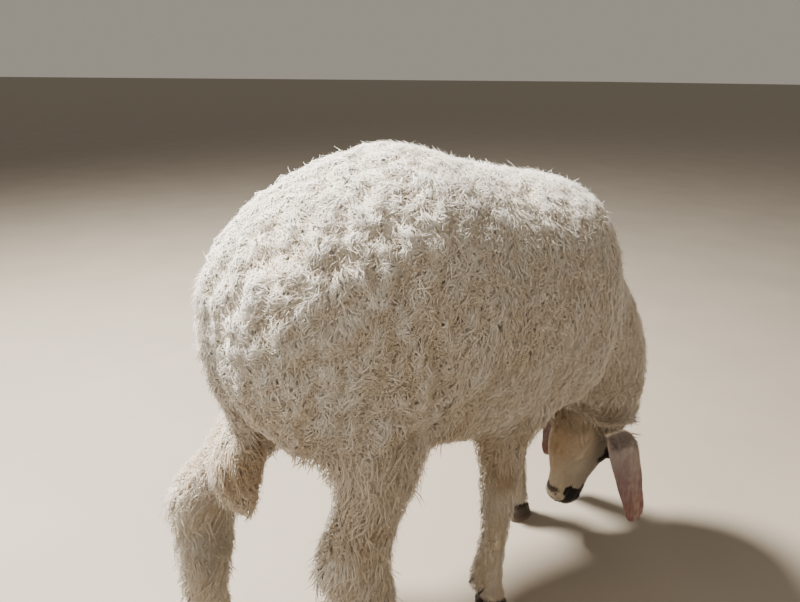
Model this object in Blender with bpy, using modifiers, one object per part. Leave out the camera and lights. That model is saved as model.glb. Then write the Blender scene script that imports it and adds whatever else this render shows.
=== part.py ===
"""A woolly long-eared sheep, life size, walking with its head lowered to graze.

Metres. +X is the way the sheep faces, +Y its left side, +Z up. The solids reach out to the
tips of the fleece. The body is modelled whole, then parted with thin cuts into trunk, neck,
head, tail and legs. Ears, eyes and hooves are pieces of their own. The origin is moved at
the end to the bottom centre of the model's box.
"""
import math

import bmesh
import bpy
from mathutils import Matrix, Vector

# ---- driving dimensions -------------------------------------------------------------------
GAP = 0.0003                # clearance between neighbouring pieces
BACK = 0.875                # height of the fleece over the loin
WITHERS = 0.822             # height of the fleece over the shoulders
BELLY = 0.386               # height of the lowest belly wool
HALF_WIDTH = 0.198          # half the width of the barrel, fleece included
RUMP_X = -0.367             # rearmost wool of the rump
BREAST_X = 0.335            # foremost wool of the breast

POLL = Vector((0.406, 0.0, 0.338))      # top of the skull, between the ears
HEAD_PITCH = 76.0           # degrees below level, the muzzle drawn back
EYE_RADIUS = 0.0135
EAR_LENGTH = 0.203          # along the blade, hair included
EAR_WIDTH = 0.082           # across its broad upper part
EAR_THICKNESS = 0.007
EAR_CUP = 5.0               # how strongly the blade curls, per metre

CLAW_LENGTH = 0.056         # one claw of a cloven hoof, along the sole
CLAW_WIDTH = 0.0245
CLAW_HEIGHT = 0.036
CLAW_CLEFT = 0.002          # space between the two claws of a foot
KNEE_Z = 0.265
HOCK_Z = 0.275
FETLOCK_Z = 0.095

BODY_VOXEL = 0.0085         # grain of the remeshed body
HEAD_VOXEL = 0.0045         # grain of the remeshed head
BODY_TRIANGLES = 3500
HEAD_TRIANGLES = 1200


# ---- scene, collections and materials -----------------------------------------------------
for old in list(bpy.data.objects):
    bpy.data.objects.remove(old, do_unlink=True)

parts = bpy.data.collections.new("woolly_sheep")
cutters = bpy.data.collections.new("cutters")
bpy.context.scene.collection.children.link(parts)
bpy.context.scene.collection.children.link(cutters)


def principled(name, colour, roughness):
    """A plain non-metal material with the piece's colour."""
    material = bpy.data.materials.new(name)
    material.use_nodes = True
    shader = material.node_tree.nodes["Principled BSDF"]
    shader.inputs["Base Color"].default_value = (*colour, 1.0)
    shader.inputs["Roughness"].default_value = roughness
    shader.inputs["Metallic"].default_value = 0.0
    return material


# ---- mesh helpers -------------------------------------------------------------------------
def new_object(name, bm, collection=parts):
    """Store a bmesh as a named object of triangles, its faces pointing out."""
    bmesh.ops.triangulate(bm, faces=bm.faces)
    bmesh.ops.recalc_face_normals(bm, faces=bm.faces)
    mesh = bpy.data.meshes.new(name)
    bm.to_mesh(mesh)
    bm.free()
    obj = bpy.data.objects.new(name, mesh)
    collection.objects.link(obj)
    return obj


def loft(bm, stations, sides=20, squareness=2.0, steps=1):
    """A closed tube through elliptical rings.

    A station is (centre, along, half_up, half_side): the ring stands square to the vector
    along, and its up axis is the part of +Z or +X that is square to along. With steps over
    one, rings between the stations are read from a smooth curve through them.
    """
    if steps > 1:
        stations = [blend_station(stations, i / steps)
                    for i in range(steps * (len(stations) - 1) + 1)]
    rings = []
    for centre, along, half_up, half_side in stations:
        along = Vector(along).normalized()
        side = Vector((0.0, 1.0, 0.0))
        side = (side - side.dot(along) * along).normalized()
        up = side.cross(along) * -1.0
        ring = []
        for i in range(sides):
            angle = 2.0 * math.pi * i / sides
            c, s = math.cos(angle), math.sin(angle)
            c = math.copysign(abs(c) ** (2.0 / squareness), c)
            s = math.copysign(abs(s) ** (2.0 / squareness), s)
            ring.append(bm.verts.new(Vector(centre) + side * (half_side * c) + up * (half_up * s)))
        rings.append(ring)
    for ring, following in zip(rings, rings[1:]):
        for i in range(sides):
            j = (i + 1) % sides
            bm.faces.new((ring[i], ring[j], following[j], following[i]))
    bm.faces.new(rings[0])
    bm.faces.new(rings[-1][::-1])


def blend_station(stations, t):
    """The station at t, by a Catmull-Rom curve through all of them."""
    i = min(int(t), len(stations) - 2)
    f = t - i
    flat = [(*s[0], *s[1], s[2], s[3]) for s in stations]
    p0, p1 = flat[max(i - 1, 0)], flat[i]
    p2, p3 = flat[i + 1], flat[min(i + 2, len(flat) - 1)]
    value = [0.5 * (2 * b + (c - a) * f + (2 * a - 5 * b + 4 * c - d) * f * f
                    + (3 * b - a - 3 * c + d) * f ** 3) for a, b, c, d in zip(p0, p1, p2, p3)]
    return Vector(value[0:3]), Vector(value[3:6]), max(value[6], 0.001), max(value[7], 0.001)


def chain(points):
    """Stations from (point, half_up, half_side) rows, each ring square to its path."""
    centres = [Vector(p[0]) for p in points]
    stations = []
    for i, (centre, half_up, half_side) in enumerate(points):
        ahead = centres[min(i + 1, len(points) - 1)]
        behind = centres[max(i - 1, 0)]
        stations.append((centre, ahead - behind, half_up, half_side))
    return stations


def ball(bm, centre, radii, turn=0.0):
    """An ellipsoid, its long axis turned in the X-Z plane by turn degrees."""
    matrix = (Matrix.Translation(centre) @ Matrix.Rotation(math.radians(-turn), 4, "Y")
              @ Matrix.Diagonal((*radii, 1.0)))
    bmesh.ops.create_uvsphere(bm, u_segments=24, v_segments=14, radius=1.0, matrix=matrix)


def apply_modifiers(obj):
    """Bake the modifiers into the object's own mesh."""
    evaluated = obj.evaluated_get(bpy.context.evaluated_depsgraph_get())
    mesh = bpy.data.meshes.new_from_object(evaluated)
    mesh.transform(obj.matrix_world)
    obj.modifiers.clear()
    obj.matrix_world = Matrix.Identity(4)
    obj.data = mesh


def remesh(obj, voxel, smoothing, triangles):
    """Melt overlapping shapes into one smooth closed body of about so many triangles."""
    melt = obj.modifiers.new("melt", "REMESH")
    melt.mode = "VOXEL"
    melt.voxel_size = voxel
    smooth = obj.modifiers.new("smooth", "SMOOTH")
    smooth.factor = 0.5
    smooth.iterations = smoothing
    apply_modifiers(obj)
    thin = obj.modifiers.new("thin", "DECIMATE")
    thin.ratio = min(1.0, triangles / sum(len(p.vertices) - 2 for p in obj.data.polygons))
    thin.use_collapse_triangulate = True
    apply_modifiers(obj)


def boolean(obj, cutter, operation):
    """Cut, cross or join with another object, by the exact solver."""
    step = obj.modifiers.new(operation.lower(), "BOOLEAN")
    step.operation = operation
    step.solver = "EXACT"
    step.object = cutter
    apply_modifiers(obj)


def seat(host, piece):
    """Cut into host the seat of another piece: its own shape, larger by the gap all round."""
    bm = bmesh.new()
    bm.from_mesh(piece.data)
    bm.normal_update()
    moves = [(v, v.normal * GAP * v.calc_shell_factor()) for v in bm.verts]
    for vertex, move in moves:
        vertex.co += move
    boolean(host, new_object("seat_of_" + piece.name, bm, cutters), "DIFFERENCE")


def hide_cutter(cutter):
    cutter.hide_render = True
    cutter.display_type = "WIRE"


def copy_of(obj, name, collection=parts):
    twin = bpy.data.objects.new(name, obj.data.copy())
    collection.objects.link(twin)
    return twin


# ---- body: trunk, neck, tail root and legs in one mesh ------------------------------------
def trunk_stations():
    """Rings along the barrel: where, top and bottom of the fleece, half width."""
    rings = (
        (RUMP_X, 0.685, 0.610, 0.035),                           # buttocks
        (RUMP_X + 0.014, 0.722, 0.540, 0.095),                   # pin bones
        (RUMP_X + 0.055, BACK - 0.100, 0.475, 0.150),
        (RUMP_X + 0.140, BACK - 0.040, BELLY + 0.040, 0.180),    # hips
        (-0.090, BACK, BELLY + 0.010, HALF_WIDTH),               # loin
        (0.020, BACK - 0.026, BELLY, HALF_WIDTH),                # ribs
        (0.120, WITHERS + 0.005, BELLY, HALF_WIDTH - 0.012),     # girth
        (0.205, WITHERS - 0.008, BELLY + 0.010, HALF_WIDTH - 0.032),
        (BREAST_X - 0.060, WITHERS - 0.040, BELLY + 0.030, 0.138),   # shoulder points
        (BREAST_X - 0.020, 0.690, 0.47, 0.094),
        (BREAST_X, 0.60, 0.53, 0.045),                           # breast
    )
    return [(Vector((x, 0.0, (top + bottom) / 2)), Vector((1, 0, 0)), (top - bottom) / 2, half)
            for x, top, bottom, half in rings]


NECK = (                          # centre, half depth, half width of the fleece
    ((0.155, 0.0, 0.600), 0.170, 0.148),
    ((0.225, 0.0, 0.580), 0.143, 0.134),
    ((0.302, 0.0, 0.520), 0.130, 0.116),
    ((0.358, 0.0, 0.452), 0.116, 0.102),
    ((0.386, 0.0, 0.400), 0.102, 0.092),
    ((0.397, 0.0, 0.345), 0.090, 0.082),
    ((0.394, 0.0, 0.280), 0.074, 0.068),
)

FORE_LEGS = {                     # x and y of foot, knee, elbow and shoulder
    "right": ((0.077, -0.100), (0.078, -0.102), (0.072, -0.108), (0.170, -0.095)),
    "left": ((0.292, 0.100), (0.275, 0.100), (0.195, 0.108), (0.200, 0.095)),
}
HIND_LEGS = {                     # x and y of foot, hock, stifle and hip
    "right": ((-0.160, -0.115), (-0.196, -0.120), (-0.158, -0.120), (-0.205, -0.090)),
    "left": ((-0.392, 0.120), (-0.372, 0.125), (-0.242, 0.122), (-0.215, 0.085)),
}


def fore_leg(bm, foot, knee, elbow, shoulder):
    """Pastern, fetlock, cannon, knee, forearm and shoulder, with their wool."""
    middle = (foot[0] + knee[0]) / 2
    loft(bm, chain((
        ((foot[0] + 0.012, foot[1], CLAW_HEIGHT - 0.010), 0.026, 0.024),
        ((foot[0] + 0.004, foot[1], 0.062), 0.023, 0.022),
        ((foot[0] - 0.013, foot[1], FETLOCK_Z), 0.036, 0.027),
        ((middle - 0.004, foot[1], 0.175), 0.027, 0.024),
        ((knee[0] - 0.002, knee[1], KNEE_Z), 0.034, 0.031),
        ((knee[0] * 0.7 + elbow[0] * 0.3, knee[1], 0.325), 0.038, 0.036),
        ((elbow[0], elbow[1], 0.410), 0.058, 0.046),
        ((shoulder[0], shoulder[1], 0.540), 0.080, 0.065),
    )), sides=16, steps=3)


def hind_leg(bm, foot, hock, stifle, hip):
    """Pastern, fetlock, cannon, hock, gaskin and thigh, with their long wool."""
    middle = (foot[0] + hock[0]) / 2
    loft(bm, chain((
        ((foot[0] + 0.012, foot[1], CLAW_HEIGHT - 0.010), 0.027, 0.025),
        ((foot[0] + 0.004, foot[1], 0.062), 0.028, 0.025),
        ((foot[0] - 0.010, foot[1], FETLOCK_Z), 0.047, 0.034),
        ((middle - 0.010, foot[1], 0.185), 0.054, 0.037),
        ((hock[0] - 0.014, hock[1], HOCK_Z - 0.005), 0.066, 0.043),
        ((hock[0] * 0.55 + stifle[0] * 0.45, hock[1], 0.360), 0.057, 0.050),
        ((stifle[0] * 0.8 + hip[0] * 0.2, stifle[1], 0.455), 0.090, 0.068),
        ((hip[0], hip[1], 0.620), 0.110, 0.080),
    )), sides=16, steps=3)


def tail_stations():
    """The tail: from the dock down the cleft of the rump, then free, to a ragged tip."""
    rows = (                      # x and z of the centre, thickness, width
        (-0.336, 0.730, 0.024, 0.046),
        (-0.358, 0.690, 0.034, 0.058),
        (-0.362, 0.610, 0.038, 0.062),
        (-0.345, 0.535, 0.042, 0.066),
        (-0.324, 0.480, 0.054, 0.074),
        (-0.339, 0.430, 0.082, 0.086),
        (-0.345, 0.385, 0.080, 0.080),
        (-0.339, 0.345, 0.050, 0.056),
        (-0.330, 0.312, 0.012, 0.018),
    )
    return chain([((x, 0.0, z), thickness / 2, width / 2) for x, z, thickness, width in rows])


# ---- head ---------------------------------------------------------------------------------
HEAD_AXIS = Vector((-math.cos(math.radians(HEAD_PITCH)), 0.0, -math.sin(math.radians(HEAD_PITCH))))
HEAD_FRONT = Vector((math.sin(math.radians(HEAD_PITCH)), 0.0, -math.cos(math.radians(HEAD_PITCH))))


def head_point(along, front, side):
    """A place in the head: metres from the poll, towards the brow, and to the left."""
    return POLL + HEAD_AXIS * along + HEAD_FRONT * front + Vector((0.0, side, 0.0))


def head_stations():
    """Rings from the back of the skull to the lips: brow side, jaw side, half width."""
    rings = (
        (-0.030, 0.018, -0.058, 0.036),
        (0.002, 0.044, -0.082, 0.050),       # poll
        (0.042, 0.058, -0.093, 0.057),       # forehead
        (0.080, 0.063, -0.097, 0.058),       # eyes
        (0.115, 0.062, -0.096, 0.053),       # cheek and jaw angle
        (0.147, 0.053, -0.083, 0.043),
        (0.182, 0.037, -0.067, 0.036),       # arched nose
        (0.212, 0.027, -0.061, 0.0345),      # nostrils
        (0.232, 0.018, -0.054, 0.031),       # lips
        (0.248, 0.001, -0.038, 0.020),
    )
    return [(head_point(along, (brow + jaw) / 2, 0.0), HEAD_AXIS, (brow - jaw) / 2, half)
            for along, brow, jaw, half in rings]


def eye_centre(side):
    return head_point(0.104, 0.030, side * 0.048)


def eyeball(bm, side):
    bmesh.ops.create_uvsphere(bm, u_segments=14, v_segments=9, radius=EYE_RADIUS,
                              matrix=Matrix.Translation(eye_centre(side)))


def ear_root(side):
    return head_point(0.047, -0.010, side * 0.050)


def ear(bm, side):
    """A long drooping ear: a cupped blade from the side of the skull, hanging outwards."""
    root = ear_root(side)
    rows = (                      # part of the length, way out, way down, part of the width
        (-0.06, -0.006, 0.000, 0.55),
        (0.04, 0.016, 0.003, 0.80),
        (0.12, 0.030, 0.016, 0.96),
        (0.25, 0.042, 0.042, 1.00),
        (0.45, 0.054, 0.082, 0.92),
        (0.65, 0.065, 0.119, 0.79),
        (0.82, 0.074, 0.152, 0.72),
        (0.95, 0.080, 0.177, 0.60),
        (1.00, 0.082, 0.186, 0.28),
    )
    scale = EAR_LENGTH / 0.209
    points = [root + Vector((0.03 * part, side * out * scale, -down * scale))
              for part, out, down, width in rows]
    rings = []
    sides = 16
    for i, (part, out, down, width) in enumerate(rows):
        along = (points[min(i + 1, len(points) - 1)] - points[max(i - 1, 0)]).normalized()
        across = Vector((1.0, 0.0, 0.0))
        across = (across - across.dot(along) * along).normalized()
        outward = across.cross(along) * -side
        half = width * EAR_WIDTH / 2
        thick = EAR_THICKNESS / 2 * (1.6 if part < 0.1 else 1.0)
        ring = []
        for j in range(sides):
            angle = 2.0 * math.pi * j / sides
            x, y = half * math.cos(angle), thick * math.sin(angle)
            cup = -EAR_CUP * x * x if part > 0.0 else 0.0
            ring.append(bm.verts.new(points[i] + across * x + outward * (y + cup)))
        rings.append(ring)
    for ring, following in zip(rings, rings[1:]):
        for j in range(sides):
            k = (j + 1) % sides
            bm.faces.new((ring[j], ring[k], following[k], following[j]))
    bm.faces.new(rings[0])
    bm.faces.new(rings[-1][::-1])


# ---- hooves -------------------------------------------------------------------------------
def claw(name, x, y):
    """One claw of a cloven hoof: a flat sole, a sloping toe and a rounded wall."""
    bm = bmesh.new()
    length, width = CLAW_LENGTH / 2, CLAW_WIDTH / 2
    up = Vector((0, 0, 1))
    loft(bm, (
        (Vector((x + 0.012, y, 0.000)), up, length, width),
        (Vector((x + 0.011, y, 0.010)), up, length * 0.99, width),
        (Vector((x + 0.007, y, CLAW_HEIGHT * 0.65)), up, length * 0.91, width * 0.97),
        (Vector((x + 0.003, y, CLAW_HEIGHT)), up, length * 0.80, width * 0.92),
    ), sides=12, squareness=2.6)
    return new_object(name, bm)


# ---- making and parting -------------------------------------------------------------------
def solid(name, maker, collection=cutters):
    bm = bmesh.new()
    maker(bm)
    return new_object(name, bm, collection)


def box(name, low, high, turn=0.0):
    """A cutting box between two corners, turned about Y by turn degrees at its centre."""
    low, high = Vector(low), Vector(high)
    matrix = (Matrix.Translation((low + high) / 2) @ Matrix.Rotation(math.radians(turn), 4, "Y")
              @ Matrix.Diagonal((*(high - low), 1.0)))
    bm = bmesh.new()
    bmesh.ops.create_cube(bm, size=1.0, matrix=matrix)
    cutter = new_object(name, bm, cutters)
    hide_cutter(cutter)
    return cutter


def part_off(whole, name, low, high, turn=0.0):
    """Take the piece of whole inside a box as a node, and leave a gap round it."""
    grown = Vector((GAP, GAP, GAP))
    node = copy_of(whole, name)
    boolean(node, box(name + "_keep", low, high, turn), "INTERSECT")
    boolean(whole, box(name + "_clear", Vector(low) - grown, Vector(high) + grown, turn), "DIFFERENCE")
    return node


def all_of_body(bm):
    loft(bm, trunk_stations(), sides=32, squareness=2.25, steps=3)
    loft(bm, chain(NECK), sides=28, steps=3)
    for leg in FORE_LEGS.values():
        fore_leg(bm, *leg)
    for leg in HIND_LEGS.values():
        hind_leg(bm, *leg)
    for side in (-1, 1):
        ball(bm, (-0.252, side * 0.100, 0.570), (0.076, 0.072, 0.120))      # buttock
        ball(bm, (0.190, side * 0.100, 0.560), (0.085, 0.072, 0.130))       # shoulder


def all_of_head(bm):
    loft(bm, head_stations(), sides=28, squareness=2.2, steps=4)
    for side in (-1, 1):
        ball(bm, head_point(0.101, 0.028, side * 0.041), (0.024, 0.018, 0.024))     # eye rim
        ball(bm, head_point(0.105, -0.046, side * 0.028), (0.030, 0.024, 0.036))    # jaw muscle
        ball(bm, ear_root(side), (0.030, 0.022, 0.022))                             # ear base


body = solid("trunk", all_of_body, parts)
remesh(body, BODY_VOXEL, 6, BODY_TRIANGLES)
head = solid("head", all_of_head, parts)
remesh(head, HEAD_VOXEL, 8, HEAD_TRIANGLES)

# The head ends in a flat face square to it, level with the top of the ears, where the wool of
# the neck meets it.
SKULL_END = 0.030
square_to_head = Matrix.Translation(POLL) @ Matrix(
    (HEAD_FRONT, (0.0, 1.0, 0.0), -HEAD_AXIS)).transposed().to_4x4()
beyond_skull = box("beyond_skull", (-0.20, -0.20, -SKULL_END), (0.20, 0.20, 0.20))
beyond_skull.data.transform(square_to_head)
boolean(head, beyond_skull, "DIFFERENCE")
beyond_neck = box("beyond_neck", (-0.11, -0.12, -0.12), (0.12, 0.12, GAP - SKULL_END))
beyond_neck.data.transform(square_to_head)
boolean(body, beyond_neck, "DIFFERENCE")

# The legs end flat, just over the hooves.
boolean(body, box("under_pasterns", (-0.60, -0.30, -0.10), (0.60, 0.30, CLAW_HEIGHT + GAP)),
        "DIFFERENCE")

# The tail lies in the cleft of the rump, in a groove of its own shape.
seat(body, solid("tail", lambda bm: loft(bm, tail_stations(), sides=12, steps=2), parts))

# Ears and eyes sit in sockets of their own shape in the head.
for side, label in ((-1, "right"), (1, "left")):
    seat(head, solid("ear_" + label, lambda bm: ear(bm, side), parts))
    seat(head, solid("eye_" + label, lambda bm: eyeball(bm, side), parts))

# Thin cuts part the whole body. A leg is taken off in a thigh or forearm and a shank.
NECK_CUT = 0.285
PASTERN_REACH = 0.030             # how far the pastern stands out in front of the leg above
LEG_BOXES = {                     # rear and front of the box that holds each leg
    "fore_right": (-0.040, 0.185), "fore_left": (0.095, 0.312),
    "hind_right": (-0.300, -0.050), "hind_left": (-0.480, -0.135),
}
for label, (rear, front) in LEG_BOXES.items():
    fore = label.startswith("fore")
    inner, outer = (0.020, 0.30) if fore else (0.004, 0.30)
    if label.endswith("right"):
        inner, outer = -outer, -inner
    joint, top = (KNEE_Z - 0.020, 0.425) if fore else (HOCK_Z - 0.045, 0.500)
    part_off(body, "shank_" + label, (rear, inner, -0.10), (front + PASTERN_REACH, outer, joint))
    part_off(body, "leg_" + label, (rear, inner, joint + GAP), (front, outer, top))
part_off(body, "neck", (NECK_CUT, -0.30, 0.20), (0.60, 0.30, 0.90), turn=8.0)

for label, legs in (("fore", FORE_LEGS), ("hind", HIND_LEGS)):
    for side, places in legs.items():
        x, y = places[0]
        offset = (CLAW_WIDTH + CLAW_CLEFT) / 2
        claw(f"hoof_{label}_{side}_a", x, y - offset)
        claw(f"hoof_{label}_{side}_b", x, y + offset)


# ---- materials, shading and origin --------------------------------------------------------
FLEECE = principled("fleece", (0.80, 0.74, 0.64), 0.95)
FACE = principled("face_hair", (0.74, 0.66, 0.56), 0.85)
BARE = principled("ear_skin", (0.62, 0.42, 0.38), 0.70)
HORN = principled("hoof_horn", (0.07, 0.055, 0.045), 0.55)
EYE = principled("eye", (0.05, 0.03, 0.02), 0.12)
FINISHES = {"head": FACE, "ear": BARE, "hoof": HORN, "eye": EYE}

low = Vector((math.inf,) * 3)
high = -low
for piece in parts.objects:
    for vertex in piece.data.vertices:
        low = Vector(map(min, low, vertex.co))
        high = Vector(map(max, high, vertex.co))
SHIFT = Vector((-(low.x + high.x) / 2, -(low.y + high.y) / 2, -low.z))
for piece in parts.objects:
    piece.data.transform(Matrix.Translation(SHIFT))
    piece.data.materials.clear()
    piece.data.materials.append(FINISHES.get(piece.name.split("_")[0], FLEECE))
    piece.data.shade_smooth()
    piece.data.set_sharp_from_angle(angle=math.radians(40))
for cutter in cutters.objects:
    hide_cutter(cutter)
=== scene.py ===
"""A woolly long-eared sheep, walking with its head lowered to graze.

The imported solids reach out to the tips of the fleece. Here one skin is made inside them, the
eyes and hooves are finished, and the wool stands on the skin as closed mesh strands. Metres.
+X is the way the sheep faces, +Y its left side, +Z up.
"""
import math

import bmesh
import bpy
import numpy as np
from mathutils import Matrix, Vector
from mathutils.bvhtree import BVHTree
from mathutils.kdtree import KDTree


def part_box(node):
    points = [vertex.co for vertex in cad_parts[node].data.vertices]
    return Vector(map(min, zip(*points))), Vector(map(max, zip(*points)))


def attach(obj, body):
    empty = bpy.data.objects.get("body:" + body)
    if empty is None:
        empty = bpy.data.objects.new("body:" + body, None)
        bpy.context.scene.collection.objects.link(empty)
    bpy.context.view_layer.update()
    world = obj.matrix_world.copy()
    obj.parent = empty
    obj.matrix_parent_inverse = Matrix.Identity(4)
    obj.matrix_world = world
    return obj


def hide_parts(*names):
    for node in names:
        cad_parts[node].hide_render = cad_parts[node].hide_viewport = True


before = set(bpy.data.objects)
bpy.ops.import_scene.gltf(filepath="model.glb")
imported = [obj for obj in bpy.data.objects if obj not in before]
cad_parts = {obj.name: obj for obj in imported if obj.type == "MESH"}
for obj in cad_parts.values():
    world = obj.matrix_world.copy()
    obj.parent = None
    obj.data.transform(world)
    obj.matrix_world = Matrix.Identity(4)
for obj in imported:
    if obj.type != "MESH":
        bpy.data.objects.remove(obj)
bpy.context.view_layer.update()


# ---- studio -------------------------------------------------------------------------------
# A pale floor, one large soft key from the upper left and beyond the sheep, a fill from the
# camera's side, and a camera held at breast height behind the right flank, looking down.
def linear(code):
    """A linear colour from an sRGB hex code."""
    parts = [int(code[i:i + 2], 16) / 255 for i in (1, 3, 5)]
    return np.array([c / 12.92 if c <= 0.04045 else ((c + 0.055) / 1.055) ** 2.4 for c in parts])


def rgba(code):
    return (*linear(code), 1.0)


def add(tree, kind, inputs=None, **settings):
    """Add a node: settings are its properties, inputs its sockets' values or their links."""
    node = tree.nodes.new("ShaderNode" + kind)
    for name, value in settings.items():
        setattr(node, name, value)
    for name, value in (inputs or {}).items():
        if isinstance(value, bpy.types.NodeSocket):
            tree.links.new(value, node.inputs[name])
        else:
            node.inputs[name].default_value = value
    return node


def material(name, **sockets):
    """A material with one Principled shader: its tree and the shader, with these sockets set."""
    made = bpy.data.materials.new(name)
    made.use_nodes = True
    shader = made.node_tree.nodes["Principled BSDF"]
    for socket, value in sockets.items():
        shader.inputs[socket.replace("_", " ")].default_value = value
    return made, made.node_tree, shader


def studio_floor():
    """Matt painted studio floor: pale warm grey, with a faint mottle about 0.3 m across."""
    bpy.ops.mesh.primitive_plane_add(size=400.0, location=(0.0, 0.0, 0.0))
    floor = bpy.context.object
    floor.name = "floor"
    paint, tree, shader = material("floor_matt_paint", Roughness=0.75)
    place = add(tree, "TexCoord").outputs["Object"]
    mottle = add(tree, "TexNoise", {"Vector": place, "Scale": 3.0, "Detail": 4.0})
    tone = add(tree, "MixRGB", {"Fac": mottle.outputs["Fac"], "Color1": rgba("#857D72"),
                                "Color2": rgba("#938A7E")})
    tree.links.new(tone.outputs["Color"], shader.inputs["Base Color"])
    floor.data.materials.append(paint)


def area_light(name, place, target, size, power, colour):
    lamp = bpy.data.lights.new(name, "AREA")
    lamp.shape = "DISK"
    lamp.size, lamp.energy, lamp.color = size, power, linear(colour)
    lit = bpy.data.objects.new(name, lamp)
    lit.location = place
    lit.rotation_euler = (Vector(target) - Vector(place)).to_track_quat("-Z", "Y").to_euler()
    bpy.context.scene.collection.objects.link(lit)


CAMERA_PLACE = Vector((-0.4990, -0.7899, 0.9615))
CAMERA_AZIMUTH, CAMERA_PITCH, CAMERA_ROLL = 27.6, 20.46, 0.6      # degrees

studio_floor()
area_light("key", (-1.2, 1.3, 3.2), (0.0, 0.0, 0.5), 0.7, 790.0, "#FFFAF0")
area_light("fill", (0.6, -2.8, 1.6), (0.0, 0.0, 0.4), 2.4, 26.0, "#FFE6C8")
area_light("rear_fill", (-2.6, -0.2, 1.9), (-0.2, 0.0, 0.5), 1.4, 42.0, "#FFFAF0")
world = bpy.data.worlds.new("studio_air")
world.use_nodes = True
world.node_tree.nodes["Background"].inputs["Color"].default_value = rgba("#ECE2D2")
world.node_tree.nodes["Background"].inputs["Strength"].default_value = 0.40
bpy.context.scene.world = world

camera = bpy.data.objects.new("camera", bpy.data.cameras.new("camera"))
camera.data.sensor_width, camera.data.lens = 36.0, 27.0
camera.matrix_world = (Matrix.Translation(CAMERA_PLACE)
                       @ Matrix.Rotation(math.radians(-CAMERA_AZIMUTH), 4, "Z")
                       @ Matrix.Rotation(math.radians(90.0 - CAMERA_PITCH), 4, "X")
                       @ Matrix.Rotation(math.radians(CAMERA_ROLL), 4, "Z"))
bpy.context.scene.collection.objects.link(camera)
bpy.context.scene.camera = camera


# ---- head ---------------------------------------------------------------------------------
# The head is short-haired, with an arched nose, a split upper lip and heavy lids. It is modelled
# in its own measures: metres from the poll along the face, towards the brow, and to the side.
HEAD_PITCH = math.radians(76.0)
AXIS = np.array((-math.cos(HEAD_PITCH), 0.0, -math.sin(HEAD_PITCH)))
FRONT = np.array((math.sin(HEAD_PITCH), 0.0, -math.cos(HEAD_PITCH)))
LEFT = np.array((0.0, 1.0, 0.0))
EYE_RADIUS = 0.0132
EYE_AT = np.array((0.104, 0.030, 0.0480))        # along, front, side, in head measures
EYES = {side: np.array(sum(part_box(f"eye_{side}"), Vector())) / 2 for side in ("right", "left")}
POLL = (EYES["right"] + EYES["left"]) / 2 - AXIS * EYE_AT[0] - FRONT * EYE_AT[1]
EAR_AT = np.array((0.047, -0.010, 0.050))


def to_world(head_places):
    """World places of points given in head measures."""
    a, f, s = np.moveaxis(np.asarray(head_places), -1, 0)
    return POLL + a[..., None] * AXIS + f[..., None] * FRONT + s[..., None] * LEFT


def to_head(places):
    """Head measures of world places."""
    away = np.asarray(places) - POLL
    return np.stack((away @ AXIS, away @ FRONT, away @ LEFT), -1)


def smooth_step(x, low=0.0, high=1.0):
    t = np.clip((x - low) / (high - low), 0.0, 1.0)
    return t * t * (3.0 - 2.0 * t)


def through(rows, count):
    """Rows of values read from a smooth curve through the given rows."""
    rows = np.array(rows, float)
    t = np.linspace(0.0, len(rows) - 1.0, count)
    i = np.minimum(t.astype(int), len(rows) - 2)
    f = (t - i)[:, None]
    p0, p1 = rows[np.maximum(i - 1, 0)], rows[i]
    p2, p3 = rows[i + 1], rows[np.minimum(i + 2, len(rows) - 1)]
    return 0.5 * (2 * p1 + (p2 - p0) * f + (2 * p0 - 5 * p1 + 4 * p2 - p3) * f ** 2
                  + (3 * p1 - p0 - 3 * p2 + p3) * f ** 3)


def mesh_object(name, places, *faces):
    """A smooth-shaded mesh from arrays of places and of faces with 3 or 4 corners."""
    mesh = bpy.data.meshes.new(name)
    corners = np.concatenate([f.ravel() for f in faces]).astype(np.int32)
    sizes = np.concatenate([np.full(len(f), f.shape[1]) for f in faces])
    mesh.vertices.add(len(places))
    mesh.vertices.foreach_set("co", np.asarray(places, np.float32).ravel())
    mesh.loops.add(len(corners))
    mesh.loops.foreach_set("vertex_index", corners)
    mesh.polygons.add(len(sizes))
    mesh.polygons.foreach_set("loop_start", (np.cumsum(sizes) - sizes).astype(np.int32))
    mesh.update(calc_edges=True)
    mesh.shade_smooth()
    made = bpy.data.objects.new(name, mesh)
    bpy.context.scene.collection.objects.link(made)
    return made


def read_mesh(mesh):
    """Places and edges of a mesh, and its faces as triangles."""
    mesh.calc_loop_triangles()
    places = np.empty(len(mesh.vertices) * 3, np.float32)
    edges = np.empty(len(mesh.edges) * 2, np.int32)
    triangles = np.empty(len(mesh.loop_triangles) * 3, np.int32)
    mesh.vertices.foreach_get("co", places)
    mesh.edges.foreach_get("vertices", edges)
    mesh.loop_triangles.foreach_get("vertices", triangles)
    return places.reshape(-1, 3).astype(float), edges.reshape(-1, 2), triangles.reshape(-1, 3)


def sum_at(index, values, count):
    """Sum rows of values into count bins."""
    return np.stack([np.bincount(index, values[:, c], count) for c in range(values.shape[1])], 1)


def outward_of(places, triangles):
    """Unit normals at the vertices of a closed mesh."""
    a, b, c = (places[triangles[:, i]] for i in range(3))
    facing = np.cross(b - a, c - a)
    total = sum(sum_at(triangles[:, i], facing, len(places)) for i in range(3))
    return total / (np.linalg.norm(total, axis=1, keepdims=True) + 1e-12)


def relax(values, edges, rounds, back=-0.53):
    """Soften values over a mesh's edges. The step back keeps thin limbs from shrinking."""
    a, b = edges.T
    count = len(values)
    near = np.bincount(edges.ravel(), minlength=count)[:, None]
    for _ in range(rounds):
        for step in (0.5, back):
            if step:
                mean = (sum_at(a, values[b], count) + sum_at(b, values[a], count)) / near
                values = values + step * (mean - values)
    return values


def ring_turns(sides):
    """Angles once round a ring."""
    return np.linspace(0.0, 2.0 * math.pi, sides, endpoint=False)[None, :]


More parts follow.
